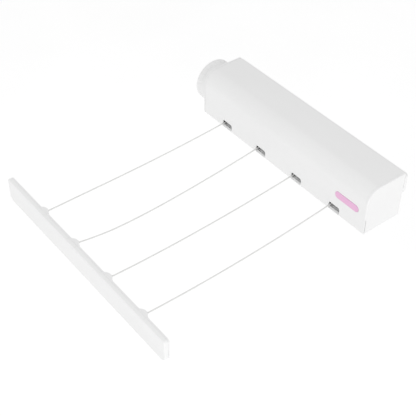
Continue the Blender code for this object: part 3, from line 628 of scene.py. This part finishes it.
def twisted(name, points, step):
    """A tube of twisted strands along points a step apart, closed to a point at each end."""
    rings = [[points[0]]]
    side = Vector((1, 0, 0))
    for i, point in enumerate(points):
        ahead = (points[min(i + 1, len(points) - 1)] - points[max(i - 1, 0)]).normalized()
        side = (side - ahead * side.dot(ahead)).normalized()
        across = ahead.cross(side)
        turn = 2 * math.pi * i * step / LAY_LENGTH
        ring = []
        for k in range(RING_POINTS):
            a = 2 * math.pi * k / RING_POINTS
            r = strand_radius(a - turn)
            ring.append(point + side * (r * math.cos(a)) + across * (r * math.sin(a)))
        rings.append(ring)
    rings.append([points[-1]])
    return loft(name, rings)


def lines():
    """The free stretch of each line, from the back of its winding, round the guide rod, to the pull bar."""
    for k, lane in enumerate(LANE_X):
        route = []
        for dx, y, z, sag, sway in LINE_ROUTE:
            route.append(Vector((lane + dx + sway * LINE_SWAY[k], y, z - sag * LINE_SAG[k])))
        path = smooth_path(route)
        obj = twisted(f"drying_line_{k + 1}", evenly(path, RING_STEP), RING_STEP)
        obj.data.materials.append(LINE)
        obj.data.shade_smooth()
        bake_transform(obj)
        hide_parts(f"line_{k + 1}")
        along = evenly(path, PATH_STEP)


lines()


# ---------------------------------------------------------------- windings

WINDING_POINTS = 56
TURN_STEPS = 6
TURN_ROUND = 0.6


def wound_radius(turn):
    """The outer layer's radius, by how many turns from the winding's start a point is."""
    return WOUND_RADIUS - LINE_RADIUS * (1 - abs(math.sin(math.pi * turn)) ** TURN_ROUND)


def windings():
    """Each winding's outer layer of line, with its turns laid side by side."""
    frame_of = place_of(ALONG_X, AXIS)
    angles = [2 * math.pi * i / WINDING_POINTS for i in range(WINDING_POINTS)]

    def ring(x, radii):
        return [frame_of @ Vector((r * math.cos(a), r * math.sin(a), x)) for r, a in zip(radii, angles)]

    bore = [CORE_RADIUS + GAP] * WINDING_POINTS
    for k in range(LANES):
        low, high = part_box(f"winding_{k + 1}")
        steps = TURN_STEPS * int((high.x - low.x) / (2 * LINE_RADIUS))
        rings = [ring(high.x, bore), ring(low.x, bore)]
        for s in range(steps + 1):
            radii = [wound_radius(s / TURN_STEPS - i / WINDING_POINTS) for i in range(WINDING_POINTS)]
            rings.append(ring(low.x + (high.x - low.x) * s / steps, radii))
        obj = loft(f"wound_line_{k + 1}", rings, closed=True)
        dress(obj, LINE, "roller", f"winding_{k + 1}", angle=80)


windings()


# ---------------------------------------------------------------- front cover

SEAM_EDGE = 0.0003
SLOT_CUT = 0.008
SLOT_FLARE = 0.0006
SILL_ROOM = 0.0006
SLOPE_DEPTH = 0.0030
SLOPE_RISE = 0.0022
SLOPE_OVERRUN = 0.0003
SLOPE_HEAD = 0.003
CREASE_FROM = 0.0001
CREASE_SIZE = 0.0003
SILL_GROOVES = 8
SILL_PITCH = 0.0026
GROOVE_HALF = 0.0004
BADGE_ROUND = 0.49
BADGE_SUNK = 0.0005
BADGE_PROUD = 0.0004
BADGE_EDGE = 0.0005
BADGE_POCKET = 0.0008
POCKET_FLARE = 0.0003


def housing_side(inset=0.0, back_inset=0.0):
    """The housing's end profile in Y and Z: along the bottom, up the front and over the top."""
    lip = (FRONT + LIP_RADIUS, BOTTOM + LIP_RADIUS)
    shoulder = (FRONT + TOP_RADIUS, TOP - TOP_RADIUS)
    points = [(BACK - back_inset, BOTTOM + inset)]
    points += arc(lip, max(LIP_RADIUS - inset, LEAST_RADIUS), 270, 180, steps=8)
    points += arc(shoulder, TOP_RADIUS - inset, 180, 90, steps=32)
    points += [(BACK - back_inset, TOP - inset)]
    return points


def slot_outline(x):
    half = SLOT_WIDTH / 2

    def outline(inset=0.0):
        return rounded(x - half + inset, BOTTOM + SLOT_LOW + inset, x + half - inset,
                       BOTTOM + SLOT_HIGH - inset, SLOT_LOW_CORNER - inset, SLOT_CORNER - inset)

    return outline


def sill_cutters(lane):
    """The slope on a slot's lower edge, a crease behind it, and grooves for the line to run over."""
    half = SLOT_WIDTH / 2 - SILL_ROOM
    rise = SLOPE_RISE / SLOPE_DEPTH
    front = -BITE
    back = SLOPE_DEPTH + SLOPE_OVERRUN
    top = BOTTOM + SLOT_LOW
    low = top - SLOPE_RISE
    side = [
        (FRONT + front, low + rise * front),
        (FRONT + back, low + rise * back),
        (FRONT + back, top + SLOPE_HEAD),
        (FRONT + front, top + SLOPE_HEAD),
    ]
    frame_of = place_of(ALONG_X)
    cutters = [loft("slope", [at_height(side, x, frame_of) for x in (lane - half, lane + half)])]
    start = FRONT + SLOPE_DEPTH + CREASE_FROM
    cutters.append(box("crease", (lane - half, start, top - CREASE_SIZE),
                       (lane + half, start + CREASE_SIZE, top + BITE)))
    for k in range(SILL_GROOVES):
        x = lane + (k - (SILL_GROOVES - 1) / 2) * SILL_PITCH
        cutters.append(box("groove", (x - GROOVE_HALF, start + CREASE_FROM, top - CREASE_SIZE),
                           (x + GROOVE_HALF, FRONT + SILL_DEPTH + BITE, top + BITE)))
    return cutters


def badge_outline(inset=0.0):
    radius = BADGE_ROUND * (BADGE_HIGH.z - BADGE_LOW.z) - inset
    return rounded(BADGE_LOW.x + inset, BADGE_LOW.z + inset, BADGE_HIGH.x - inset, BADGE_HIGH.z - inset,
                   radius, radius, steps=10)


def badge_pocket(inset=0.0):
    return badge_outline(inset - GAP)


def front_shell():
    """The front cover: a shell of the end profile, with its tab, slots, sills and badge pocket."""
    near = -COVER_END - SEAM_FILL
    far = CAP_FACE - HAIRLINE
    ends = [(near + depth, inset) for inset, depth in edge_steps(SEAM_EDGE, 3)]
    ends += [(far - depth, inset) for inset, depth in reversed(edge_steps(SEAM_EDGE, 3))]
    frame_of = place_of(ALONG_X)
    rings = []
    for x, inset in ends:
        rings.append(at_height(housing_side(inset) + housing_side(WALL - inset)[::-1], x, frame_of))
    shell = loft("front_shell", rings)
    sills = []
    for lane in LANE_X:
        edge = SLOT_WIDTH / 2 + BITE
        sills.append(box("sill", (lane - edge, FRONT + BITE, BOTTOM + BITE),
                         (lane + edge, FRONT + SILL_DEPTH, BOTTOM + SLOT_LOW + SILL_OVER_SLOT)))
    join(shell, *sills)
    start = COVER_END + SEAM_FILL
    end = CAP_FACE + BEYOND
    tab_top = BOTTOM + TAB_HEIGHT
    cutters = [
        box("above_tab", (start, FRONT - BEYOND, tab_top), (end, BEYOND, TOP + BEYOND)),
        box("behind_tab", (start, FRONT + LIP_RADIUS, BOTTOM - BEYOND), (end, BEYOND, tab_top + BITE)),
    ]
    face = (0, FRONT, 0)
    for lane in LANE_X:
        cutters.append(flared_cutter(slot_outline(lane), SLOT_CUT, SLOT_FLARE, ALONG_Y, face))
        cutters += sill_cutters(lane)
    cutters.append(flared_cutter(badge_pocket, BADGE_POCKET, POCKET_FLARE, ALONG_Y, face))
    cut(shell, *cutters)
    return dress(shell, WHITE, "housing", "front_cover")


def badge_face():
    """A pill-shaped badge with a softly rounded edge."""
    piece = slab("badge_face", badge_outline, -FRONT - BADGE_SUNK, -FRONT + BADGE_PROUD, ALONG_Y,
                 high_edge=BADGE_EDGE, steps=5)
    return dress(piece, PINK, "housing", "badge")


front_shell()
badge_face()


# ---------------------------------------------------------------- end caps

CAP_EDGE = 0.0014
NOTCH_CLEAR = 0.002
POST_EDGE = 0.0004
SPRING_POST_EDGE = 0.0003
SPRING_POST_CORNER = 0.0005


def cap_plate(name, side, boss_reach, bore_end):
    """An end cap: a plate of the housing's profile with a rounded outer edge, a rim, a boss for the
    shaft's bush, and a socket for the guide rod. Its side is 1 on the right and -1 on the left."""
    def between(start, end):
        return sorted((side * start, side * end))

    def outline(inset=0.0):
        return housing_side(inset, inset)

    low_edge, high_edge = (0.0, CAP_EDGE) if side > 0 else (CAP_EDGE, 0.0)
    plate = slab(name, outline, *between(CAP_INNER, CAP_FACE), ALONG_X, low_edge=low_edge,
                 high_edge=high_edge, steps=5)
    inset = WALL + GAP
    back_inset = BACK_THICK + GAP
    profile = housing_side(inset, back_inset)
    profile += housing_side(inset + RIM_THICK, back_inset + RIM_THICK)[::-1]
    root = CAP_INNER + BITE
    frame_of = place_of(ALONG_X)
    rim = loft("rim", [at_height(profile, side * x, frame_of) for x in (CAP_INNER - RIM_DEPTH, root)])
    rod_place = (0, ROD.y, ROD.z)
    socket = slab("socket", round_outline(SOCKET_RADIUS), *between(CAP_INNER - SOCKET_DEPTH, root), ALONG_X,
                  rod_place)
    boss = slab("boss", round_outline(BOSS_RADIUS, 48), *between(CAP_INNER - boss_reach, root), ALONG_X, AXIS)
    join(plate, rim, socket, boss)
    bore = slab("bore", round_outline(BUSH_RADIUS + GAP, 48),
                *between(CAP_INNER - boss_reach - BITE, bore_end), ALONG_X, AXIS)
    rod_bore = slab("rod_bore", round_outline(ROD_RADIUS + GAP),
                    *between(CAP_INNER - SOCKET_DEPTH - BITE, CAP_INNER), ALONG_X, rod_place)
    return cut(plate, bore, rod_bore)


def right_cap():
    """The plain end cap, whose boss is blind, with a notch for the front cover's tab."""
    cap = cap_plate("right_cap", 1, RIGHT_BOSS, CAP_INNER)
    notch = box("notch", (CAP_INNER - BITE, FRONT - NOTCH_CLEAR, BOTTOM - NOTCH_CLEAR),
                (CAP_FACE + NOTCH_CLEAR, FRONT + LIP_RADIUS + HAIRLINE, BOTTOM + TAB_HEIGHT + HAIRLINE))
    cut(cap, notch)
    return dress(cap, WHITE, "housing", "right_end_cap")


def spring_axes():
    """The knob's axes, turned to where the pawl's spring is."""
    return KNOB_AXES @ Matrix.Rotation(math.radians(SPRING_TURN), 3, "Z")


def spring_post_outline(inset=0.0):
    (x0, x1), (y0, y1) = SPRING_POST_RADII, SPRING_POST_SIDES
    return rounded(x0 + inset, y0 + inset, x1 - inset, y1 - inset, SPRING_POST_CORNER, SPRING_POST_CORNER, 3)


def slit_outline(inset=0.0):
    (x0, x1), (y0, y1) = (LEAF_RADIUS - SLIT_HALF, LEAF_RADIUS + SLIT_HALF), SLIT_SIDES
    return [(x0, y0), (x1, y0), (x1, y1), (x0, y1)]


def left_cap():
    """The knob's end cap, with a post for the pawl's pin and a slit one for its spring."""
    cap = cap_plate("left_cap", -1, LEFT_BOSS, CAP_FACE + BITE)
    pivot = KNOB_ORIGIN + KNOB_AXES @ Vector((0, PAWL_PIVOT, 0))
    seat = PAWL_LOW - GAP
    post = slab("post", round_outline(PAWL_ROUND), -BITE, seat, KNOB_AXES, pivot, high_edge=POST_EDGE)
    spring_post = slab("spring_post", spring_post_outline, -BITE, PAWL_HIGH, spring_axes(), KNOB_ORIGIN,
                       high_edge=SPRING_POST_EDGE)
    join(cap, post, spring_post)
    pivot_bore = slab("pivot_bore", round_outline(PIVOT_BORE), -PIVOT_DEPTH, PAWL_LOW + BITE, KNOB_AXES,
                      pivot)
    slit = slab("slit", slit_outline, seat, SLIT_TOP, spring_axes(), KNOB_ORIGIN)
    cut(cap, pivot_bore, slit)
    return dress(cap, WHITE, "housing", "left_end_cap")


def spring_leaf():
    """The pawl's leaf spring: held in its slit post, with its tip on the pawl."""
    frame_of = place_of(spring_axes(), KNOB_ORIGIN)
    points = evenly([Vector(point).to_3d() for point in LEAF_PATH], LEAF_STEP)
    rings = []
    for i, point in enumerate(points):
        ahead = (points[min(i + 1, len(points) - 1)] - points[max(i - 1, 0)]).normalized()
        side = Vector((-ahead.y, ahead.x, 0)) * LEAF_THICK / 2
        low, high = Vector((0, 0, PAWL_LOW)), Vector((0, 0, PAWL_HIGH - GAP))
        corners = (point + side + low, point + side + high, point - side + high, point - side + low)
        rings.append([frame_of @ corner for corner in corners])
    leaf = loft("spring_leaf", rings)
    leaf.data.materials.append(STEEL)
    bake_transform(leaf)
    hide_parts("pawl_spring")


right_cap()
left_cap()
spring_leaf()


# ---------------------------------------------------------------- knob

KNOB_RADIUS = 0.036
KNOB_HEIGHT = 0.0255
FACE_ROUND = 0.0050
SKIRT_THICK = 0.0025
BAND_LOW = 0.0110
BAND_HIGH = 0.0220
BAND_STEPS = 8
BAND_PROUD = 0.0005
FLUTES = 24
FLUTE_DEPTH = 0.0009
FLUTE_FADE_LOW = 0.0015
FLUTE_FADE_HIGH = 0.002
FLUTE_SHARPNESS = 1.5
BUTTON_RADIUS = 0.0102
SEAT_DEPTH = 0.0026
CEILING_DEPTH = 0.0035
HUB_RADIUS = 0.0100
HUB_LOW = 0.0018
SOCKET_TOP = 0.0080
SCREW_WELL = 0.0076
SQUARE_HALF = 0.0051
SQUARE_TOP = 0.009
KNOB_SHARP = 40


def fluted(radius, height, angle):
    """Shallow finger grooves round the knob's outer band."""
    if radius < KNOB_RADIUS - BAND_PROUD or not BAND_LOW < height < BAND_HIGH:
        return radius
    fade = min(1.0, (height - BAND_LOW) / FLUTE_FADE_LOW, (BAND_HIGH - height) / FLUTE_FADE_HIGH)
    return radius - FLUTE_DEPTH * fade * (0.5 + 0.5 * math.cos(FLUTES * angle)) ** FLUTE_SHARPNESS


def knob_grip():
    """A cup over the ratchet: a plain skirt, a fluted band, a rounded face and a hub."""
    r = KNOB_RADIUS
    top = KNOB_HEIGHT
    seat = top - SEAT_DEPTH
    ceiling = top - CEILING_DEPTH
    hub = HUB_RADIUS
    inner = r - SKIRT_THICK
    lip = BUTTON_RADIUS + GAP

    # The screw's well and the button's seat, then the face and its rounded edge
    profile = [(0, SOCKET_TOP), (SCREW_WELL, SOCKET_TOP), (SCREW_WELL, seat), (lip - 0.0002, seat)]
    profile += [(lip, seat + 0.0002), (lip, top - 0.0008), (lip + 0.0004, top - 0.0004)]
    profile += [(0.0150, top - 0.00025), (0.0220, top - 0.0001)]
    profile += arc((r - FACE_ROUND - 0.0010, top - FACE_ROUND), FACE_ROUND, 90, 12, 8)

    # The band, down to the step under it
    profile += [(r - 0.0004, BAND_HIGH), (r - 0.0001, BAND_HIGH - 0.0010)]
    start = BAND_HIGH - 0.0016
    drop = BAND_HIGH - BAND_LOW - 0.0022
    profile += [(r, start - drop * k / BAND_STEPS) for k in range(BAND_STEPS + 1)]
    profile += [(r - 0.0001, BAND_LOW + 0.0002), (r - BAND_PROUD, BAND_LOW - 0.0002)]
    profile += [(r - 0.0006, BAND_LOW - 0.0008)]

    # The skirt's rim, then up inside the cup and down the hub
    profile += [(r - 0.0004, 0.0030)]
    profile += arc((r - 0.0012, 0.0018), 0.0008, 0, -90, 4)
    profile += [(inner, 0.0010), (inner - 0.0005, 0.0014), (inner - 0.0017, ceiling - 0.0005)]
    profile += [(inner - 0.0022, ceiling), (hub + 0.0004, ceiling), (hub, ceiling - 0.0005)]
    profile += [(hub, HUB_LOW + 0.0004), (hub - 0.0004, HUB_LOW), (0, HUB_LOW)]
    piece = turned("knob_grip", profile, KNOB_AXES, KNOB_ORIGIN, 192, fluted)
    bore = box("bore", (-CAP_FACE - SQUARE_TOP, AXIS.y - SQUARE_HALF, AXIS.z - SQUARE_HALF),
               (-CAP_FACE - BITE, AXIS.y + SQUARE_HALF, AXIS.z + SQUARE_HALF))
    cut(piece, bore)
    return dress(piece, WHITE_KNOB, "knob", "knob", KNOB_SHARP)


def knob_button():
    """The cap over the knob's screw, a little crowned."""
    top, r = KNOB_HEIGHT, BUTTON_RADIUS
    bottom = top - SEAT_DEPTH + GAP
    profile = [(0, top - 0.0001), (0.0060, top - 0.00012), (0.0090, top - 0.0003), (r - 0.0004, top - 0.0006)]
    profile += [(r, top - 0.0011), (r, bottom), (0, bottom)]
    piece = turned("knob_button", profile, KNOB_AXES, KNOB_ORIGIN, 48)
    return dress(piece, WHITE_KNOB, "knob", "knob_cap", KNOB_SHARP)


knob_grip()
knob_button()


# ---------------------------------------------------------------- pull bar

TRAY_FLOOR = 0.0022
TRAY_RIM = 0.002
TRAY_EDGE = 0.0002
FACE_EDGE = 0.0013
FACE_REACH = 0.0017
REAR_EDGE = 0.0006
LUG_CENTRE_Y = BAR_BACK + LUG_OUT - LUG_RADIUS
LUG_UNDER_TOP = 0.0006
LUG_LOW_EDGE = 0.0006
LUG_HIGH_EDGE = 0.0012
LUG_ENDS = (16, 164)
GROOVE_DEPTH = 0.00025
GROOVE_WIDTH = 0.0005


def bar_outline(inset=0.0):
    return rounded(BAR_LOW.x + inset, BAR_LOW.z + inset, BAR_HIGH.x - inset, BAR_HIGH.z - inset,
                   BAR_LOW_CORNER - inset, BAR_TOP_CORNER - inset, steps=14)


def lug_grooves():
    """Thin ring cutters round each lug, just into the bar's top."""
    low, high = BAR_HIGH.z - GROOVE_DEPTH, BAR_HIGH.z + BITE
    outer, inner = LUG_RADIUS, LUG_RADIUS - GROOVE_WIDTH
    profile = [(outer, low), (outer, high), (inner, high), (inner, low)]
    return [turned("groove", profile, ALONG_Z, (x, LUG_CENTRE_Y, 0), 96) for x in LANE_X]


def bar_face():
    """The bar's tray, open at the back, with a softly crowned front edge."""
    deep = BAR_HIGH.y - BAR_FRONT
    sections = [(TRAY_RIM, -TRAY_FLOOR), (TRAY_RIM, -deep)]
    sections += [(inset, -deep + depth) for inset, depth in edge_steps(TRAY_EDGE, 2)]
    sections += [(inset, -depth) for inset, depth in reversed(edge_steps(FACE_EDGE, 8, FACE_REACH))]
    frame_of = place_of(ALONG_Y, (0, BAR_FRONT, 0))
    tray = loft("bar_face", [at_height(bar_outline(inset), y, frame_of) for inset, y in sections])
    cut(tray, *lug_grooves())
    return dress(tray, WHITE_BAR, "bar", "bar_front")


def lug_outline(x):
    return lambda inset=0.0: arc((x, LUG_CENTRE_Y), LUG_RADIUS - inset, *LUG_ENDS, 32)


def bar_rear():
    """The bar's back plate, with a half-round lug and a flared hole for each line, and screw sinks."""
    plate = slab("bar_rear", bar_outline, 0, BAR_BACK_THICK + SEAM_FILL, ALONG_Y, (0, BAR_BACK, 0),
                 low_edge=REAR_EDGE)
    bar_top = BAR_HIGH.z
    mouth, bore = LINE_RADIUS + GAP + 0.0008, LINE_RADIUS + GAP
    hole = [(0, -0.002), (mouth, -0.002), (mouth, -0.0001), (bore + 0.0003, 0.0004), (bore, 0.0010)]
    hole += [(bore, 0.012), (0, 0.012)]
    lugs = []
    cutters = lug_grooves()
    for x in LANE_X:
        lugs.append(slab("lug", lug_outline(x), bar_top - LUG_HEIGHT, bar_top - LUG_UNDER_TOP, ALONG_Z,
                         low_edge=LUG_LOW_EDGE, high_edge=LUG_HIGH_EDGE, steps=5))
        cutters.append(turned("hole", hole, ALONG_Y, (x + HOLE_SHIFT, BAR_BACK + LUG_OUT, HOLE_Z), 32))
    head, stem = 0.0037, 0.0017
    sink = [(0, BITE), (head, BITE), (stem, -0.0016), (stem, -0.004), (0, -0.004)]
    for x, _, z in screw_places("bar_screw", BAR_SCREWS):
        cutters.append(turned("sink", sink, FROM_BEHIND, (x, BAR_BACK, z), 32))
    join(plate, *lugs)
    cut(plate, *cutters)
    return dress(plate, WHITE_BAR, "bar", "bar_back")


bar_face()
bar_rear()


# ---------------------------------------------------------------- back cover and wall plate

POCKETS = 10
POCKET_PITCH = 0.0365
POCKET_HALF = 0.0160
POCKET_DEPTH = 0.0013
POCKET_EDGE = 0.0004
POCKET_CORNER = 0.0025
POCKET_OVER_FOOT = 0.0055
MIDDLE_RIB = (-0.0215, -0.0145)
POCKET_TOP = 0.0165
BACK_CORNER = 0.001
BACK_EDGE = 0.0005
FOOT_CORNER = 0.0012
FOOT_EDGE = 0.0006
PLATE_FRONT_EDGE = 0.0014
PLATE_BOSS_HALF = 0.0085
PLATE_RIB_HALF = 0.0012
PLATE_RIM = 0.0065
PLATE_MARGIN = 0.0045
PLATE_POCKET_DEPTH = 0.0034
PLATE_POCKET_EDGE = 0.0005


def back_plate():
    """The back cover: a plate with two rows of stiffening pockets, screw sinks, hook slots and a foot rib."""
    low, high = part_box("back_cover")
    body = plate_outline((low.x, low.z), (high.x, high.z), BACK_CORNER)
    plate = slab("back_plate", body, -BACK, BACK_THICK - BACK, ALONG_Y, low_edge=BACK_EDGE)
    foot_low = BOTTOM + FOOT_LOW
    foot = plate_outline((-FOOT_HALF, foot_low), (FOOT_HALF, foot_low + FOOT_HEIGHT), FOOT_CORNER)
    join(plate, slab("foot", foot, 0, BITE - BACK, ALONG_Y, low_edge=FOOT_EDGE))
    cutters = []
    rows = ((foot_low + POCKET_OVER_FOOT, MIDDLE_RIB[0]), (MIDDLE_RIB[1], POCKET_TOP))
    for k in range(POCKETS):
        x = (k - (POCKETS - 1) / 2) * POCKET_PITCH
        for z0, z1 in rows:
            pocket = plate_outline((x - POCKET_HALF, z0), (x + POCKET_HALF, z1), POCKET_CORNER)
            cutters.append(flared_cutter(behind(pocket), POCKET_DEPTH, POCKET_EDGE, FROM_BEHIND,
                                         (0, BACK, 0)))
    head, stem = 0.0042, 0.0019
    sink = [(0, BITE), (head + 0.0002, BITE), (head, 0), (stem, -0.0016), (stem, -0.004), (0, -0.004)]
    for place in screw_places("cover_screw", COVER_SCREWS):
        cutters.append(turned("sink", sink, FROM_BEHIND, place, 32))
    reach = HOOK_HALF + GAP
    for x in (-HOOK_X, HOOK_X):
        cutters.append(box("hook_slot", (x - reach, BACK - HOOK_SLOT_CUT, HOOK_SLOT_LOW),
                           (x + reach, BACK + BITE, STEM_HIGH + GAP)))
    cut(plate, *cutters)
    return dress(plate, WHITE, "housing", "back_cover")


def mounting_plate():
    """The wall plate: a flat plate with four screw holes, pockets in its back, and two hooks."""
    low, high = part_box("wall_plate")
    middle = (low.z + high.z) / 2
    body = plate_outline((low.x, low.z), (high.x, high.z), PLATE_CORNER, PLATE_TOP_CORNER)
    plate = slab("mounting_plate", body, 0, PLATE_THICK, ALONG_Y, low_edge=PLATE_BEVEL,
                 high_edge=PLATE_FRONT_EDGE)
    hooks = []
    for x in (-HOOK_X, HOOK_X):
        left, right = x - HOOK_HALF, x + HOOK_HALF
        hooks.append(box("stem", (left, -HOOK_REACH, STEM_LOW), (right, -HOOK_ROOT, STEM_HIGH)))
        hooks.append(box("lip", (left, -HOOK_REACH, HOOK_LOW), (right, BACK - BACK_THICK - GAP, HOOK_HIGH)))
    join(plate, *hooks)
    cutters = []
    bosses = (*WALL_HOLE_X, 0)
    places = (low.x + PLATE_RIM, *WALL_HOLE_X, high.x - PLATE_RIM)
    for left, right in zip(places, places[1:]):
        between = (left + right) / 2
        for x0, x1 in ((left, between), (between, right)):
            start = x0 + (PLATE_BOSS_HALF if x0 in bosses else PLATE_RIB_HALF)
            end = x1 - (PLATE_BOSS_HALF if x1 in bosses else PLATE_RIB_HALF)
            pocket = plate_outline((start, low.z + PLATE_MARGIN), (end, high.z - PLATE_MARGIN), POCKET_CORNER)
            cutters.append(flared_cutter(behind(pocket), PLATE_POCKET_DEPTH, PLATE_POCKET_EDGE,
                                         FROM_BEHIND, (0, 0, 0)))
    bore = WALL_HOLE_RADIUS
    hole = [(0, -BITE), (bore + 0.0005, -BITE), (bore + 0.0003, 0.0002), (bore, 0.0006)]
    hole += [(bore, WALL_SINK_FROM), (WALL_SINK_RADIUS, WALL_CUT), (0, WALL_CUT)]
    for x in WALL_HOLE_X:
        cutters.append(turned("hole", hole, ALONG_Y, (x, 0, middle), 32))
    cut(plate, *cutters)
    return dress(plate, WHITE, "housing", "wall_plate")


back_plate()
mounting_plate()


# ---------------------------------------------------------------- screws

THREAD_PITCH = 0.0007
THREAD_ROOT = 0.78
RECESS_DEPTH = 0.0009
RECESS_LONG = 0.62
RECESS_SHORT = 0.13


def screws(kind, count, body, head, stem, length):
    """Countersunk screws with a cross recess and a stem ringed like a thread."""
    profile = [(0, 0), (head - 0.0002, 0), (head, -0.0002), (stem, -0.0017)]
    depth = -0.0020
    while depth > -length:
        profile += [(stem, depth), (stem * THREAD_ROOT, depth - THREAD_PITCH / 2)]
        depth -= THREAD_PITCH
    profile += [(stem * 0.4, depth - 0.0004), (0, depth - 0.0006)]
    long, short = RECESS_LONG * head, RECESS_SHORT * head
    for k, place in enumerate(screw_places(kind, count)):
        x, y, z = place
        obj = turned(f"{kind}_{k + 1}_turned", profile, FROM_BEHIND, place, 24)
        arms = []
        for wide, tall in ((long, short), (short, long)):
            arms.append(box("arm", (x - wide, y - RECESS_DEPTH, z - tall), (x + wide, y + BITE, z + tall)))
        cut(obj, *arms)
        dress(obj, STEEL, body, f"{kind}_{k + 1}")


screws("bar_screw", BAR_SCREWS, "bar", head=0.0024, stem=0.0011, length=0.0060)
screws("cover_screw", COVER_SCREWS, "housing", head=0.0030, stem=0.0015, length=0.0098)


# ---------------------------------------------------------------- CAD nodes that stay

WELD_DISTANCE = 0.000002
KEPT_SHARP = 35


def keep(material, *names):
    """A material and smooth shading for the CAD nodes that are shown as they are."""
    for name in names:
        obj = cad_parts[name]
        obj.data.materials.clear()
        obj.data.materials.append(material)
        weld = obj.modifiers.new("weld", "WELD")
        weld.merge_threshold = WELD_DISTANCE
        obj.data.shade_smooth()
        obj.data.set_sharp_from_angle(angle=math.radians(KEPT_SHARP))


keep(GREY, "pawl", "ratchet_ring", "bush_left", "bush_right")
keep(GREY, *(f"spacer_{k + 1}" for k in range(LANES + 1)))
keep(WHITE, "line_rail", *(f"spool_{k + 1}" for k in range(LANES)))
keep(LINE, *(f"line_knot_{k + 1}" for k in range(LANES)))
keep(STEEL, "pawl_pin", "shaft_washer", "shaft_screw")
keep(SHAFT_STEEL, "roller_shaft", "guide_rod")


# ---------------------------------------------------------------- stage

FLOOR_Z = -0.55
FLOOR_HALF = 8
FLOOR_THICK = 0.02
FLOOR_GLOW = 0.223
SKY_STRENGTH = 0.737
CENTRE = Vector((0, -0.2, -0.03))
SOFTBOXES = {
    "right_softbox": ((2.6, -0.6, 0.5), 1.6, 12.5),
    "front_softbox": ((0.4, -2.4, 2.0), 1.8, 12.3),
    "top_softbox": ((-0.6, 0.3, 3.0), 2.2, 5.8),
}


def stage():
    """A plain pale floor well below the object, and an even sky."""
    half = FLOOR_HALF
    floor = box("floor", (-half, -half, FLOOR_Z - FLOOR_THICK), (half, half, FLOOR_Z))
    made, nodes, links, shader = shader_nodes("pale_floor")
    place = nodes.new("ShaderNodeTexCoord")
    mottle = noise(nodes, links, place, scale=3.0)
    tone = ramp(nodes, links, mottle, darker(PLAIN, 0.91), darker(PLAIN, 0.93))
    links.new(tone, shader.inputs["Base Color"])
    shader.inputs["Roughness"].default_value = 0.9
    shader.inputs["Emission Color"].default_value = (1, 1, 1, 1)
    shader.inputs["Emission Strength"].default_value = FLOOR_GLOW
    floor.data.materials.append(made)
    world = bpy.data.worlds.new("studio")
    bpy.context.scene.world = world
    world.use_nodes = True
    sky = world.node_tree.nodes["Background"]
    sky.inputs["Color"].default_value = (1.0, 1.0, 1.0, 1)
    sky.inputs["Strength"].default_value = SKY_STRENGTH
    bpy.context.scene.view_settings.view_transform = "Standard"


def softbox(name, place, size, power):
    """A square lamp that faces the object."""
    lamp = bpy.data.lights.new(name, "AREA")
    lamp.shape = "SQUARE"
    lamp.size = size
    lamp.energy = power
    obj = bpy.data.objects.new(name, lamp)
    bpy.context.scene.collection.objects.link(obj)
    obj.location = place
    obj.rotation_euler = (CENTRE - Vector(place)).to_track_quat("-Z", "Y").to_euler()


stage()
for name, (place, size, power) in SOFTBOXES.items():
    softbox(name, place, size, power)
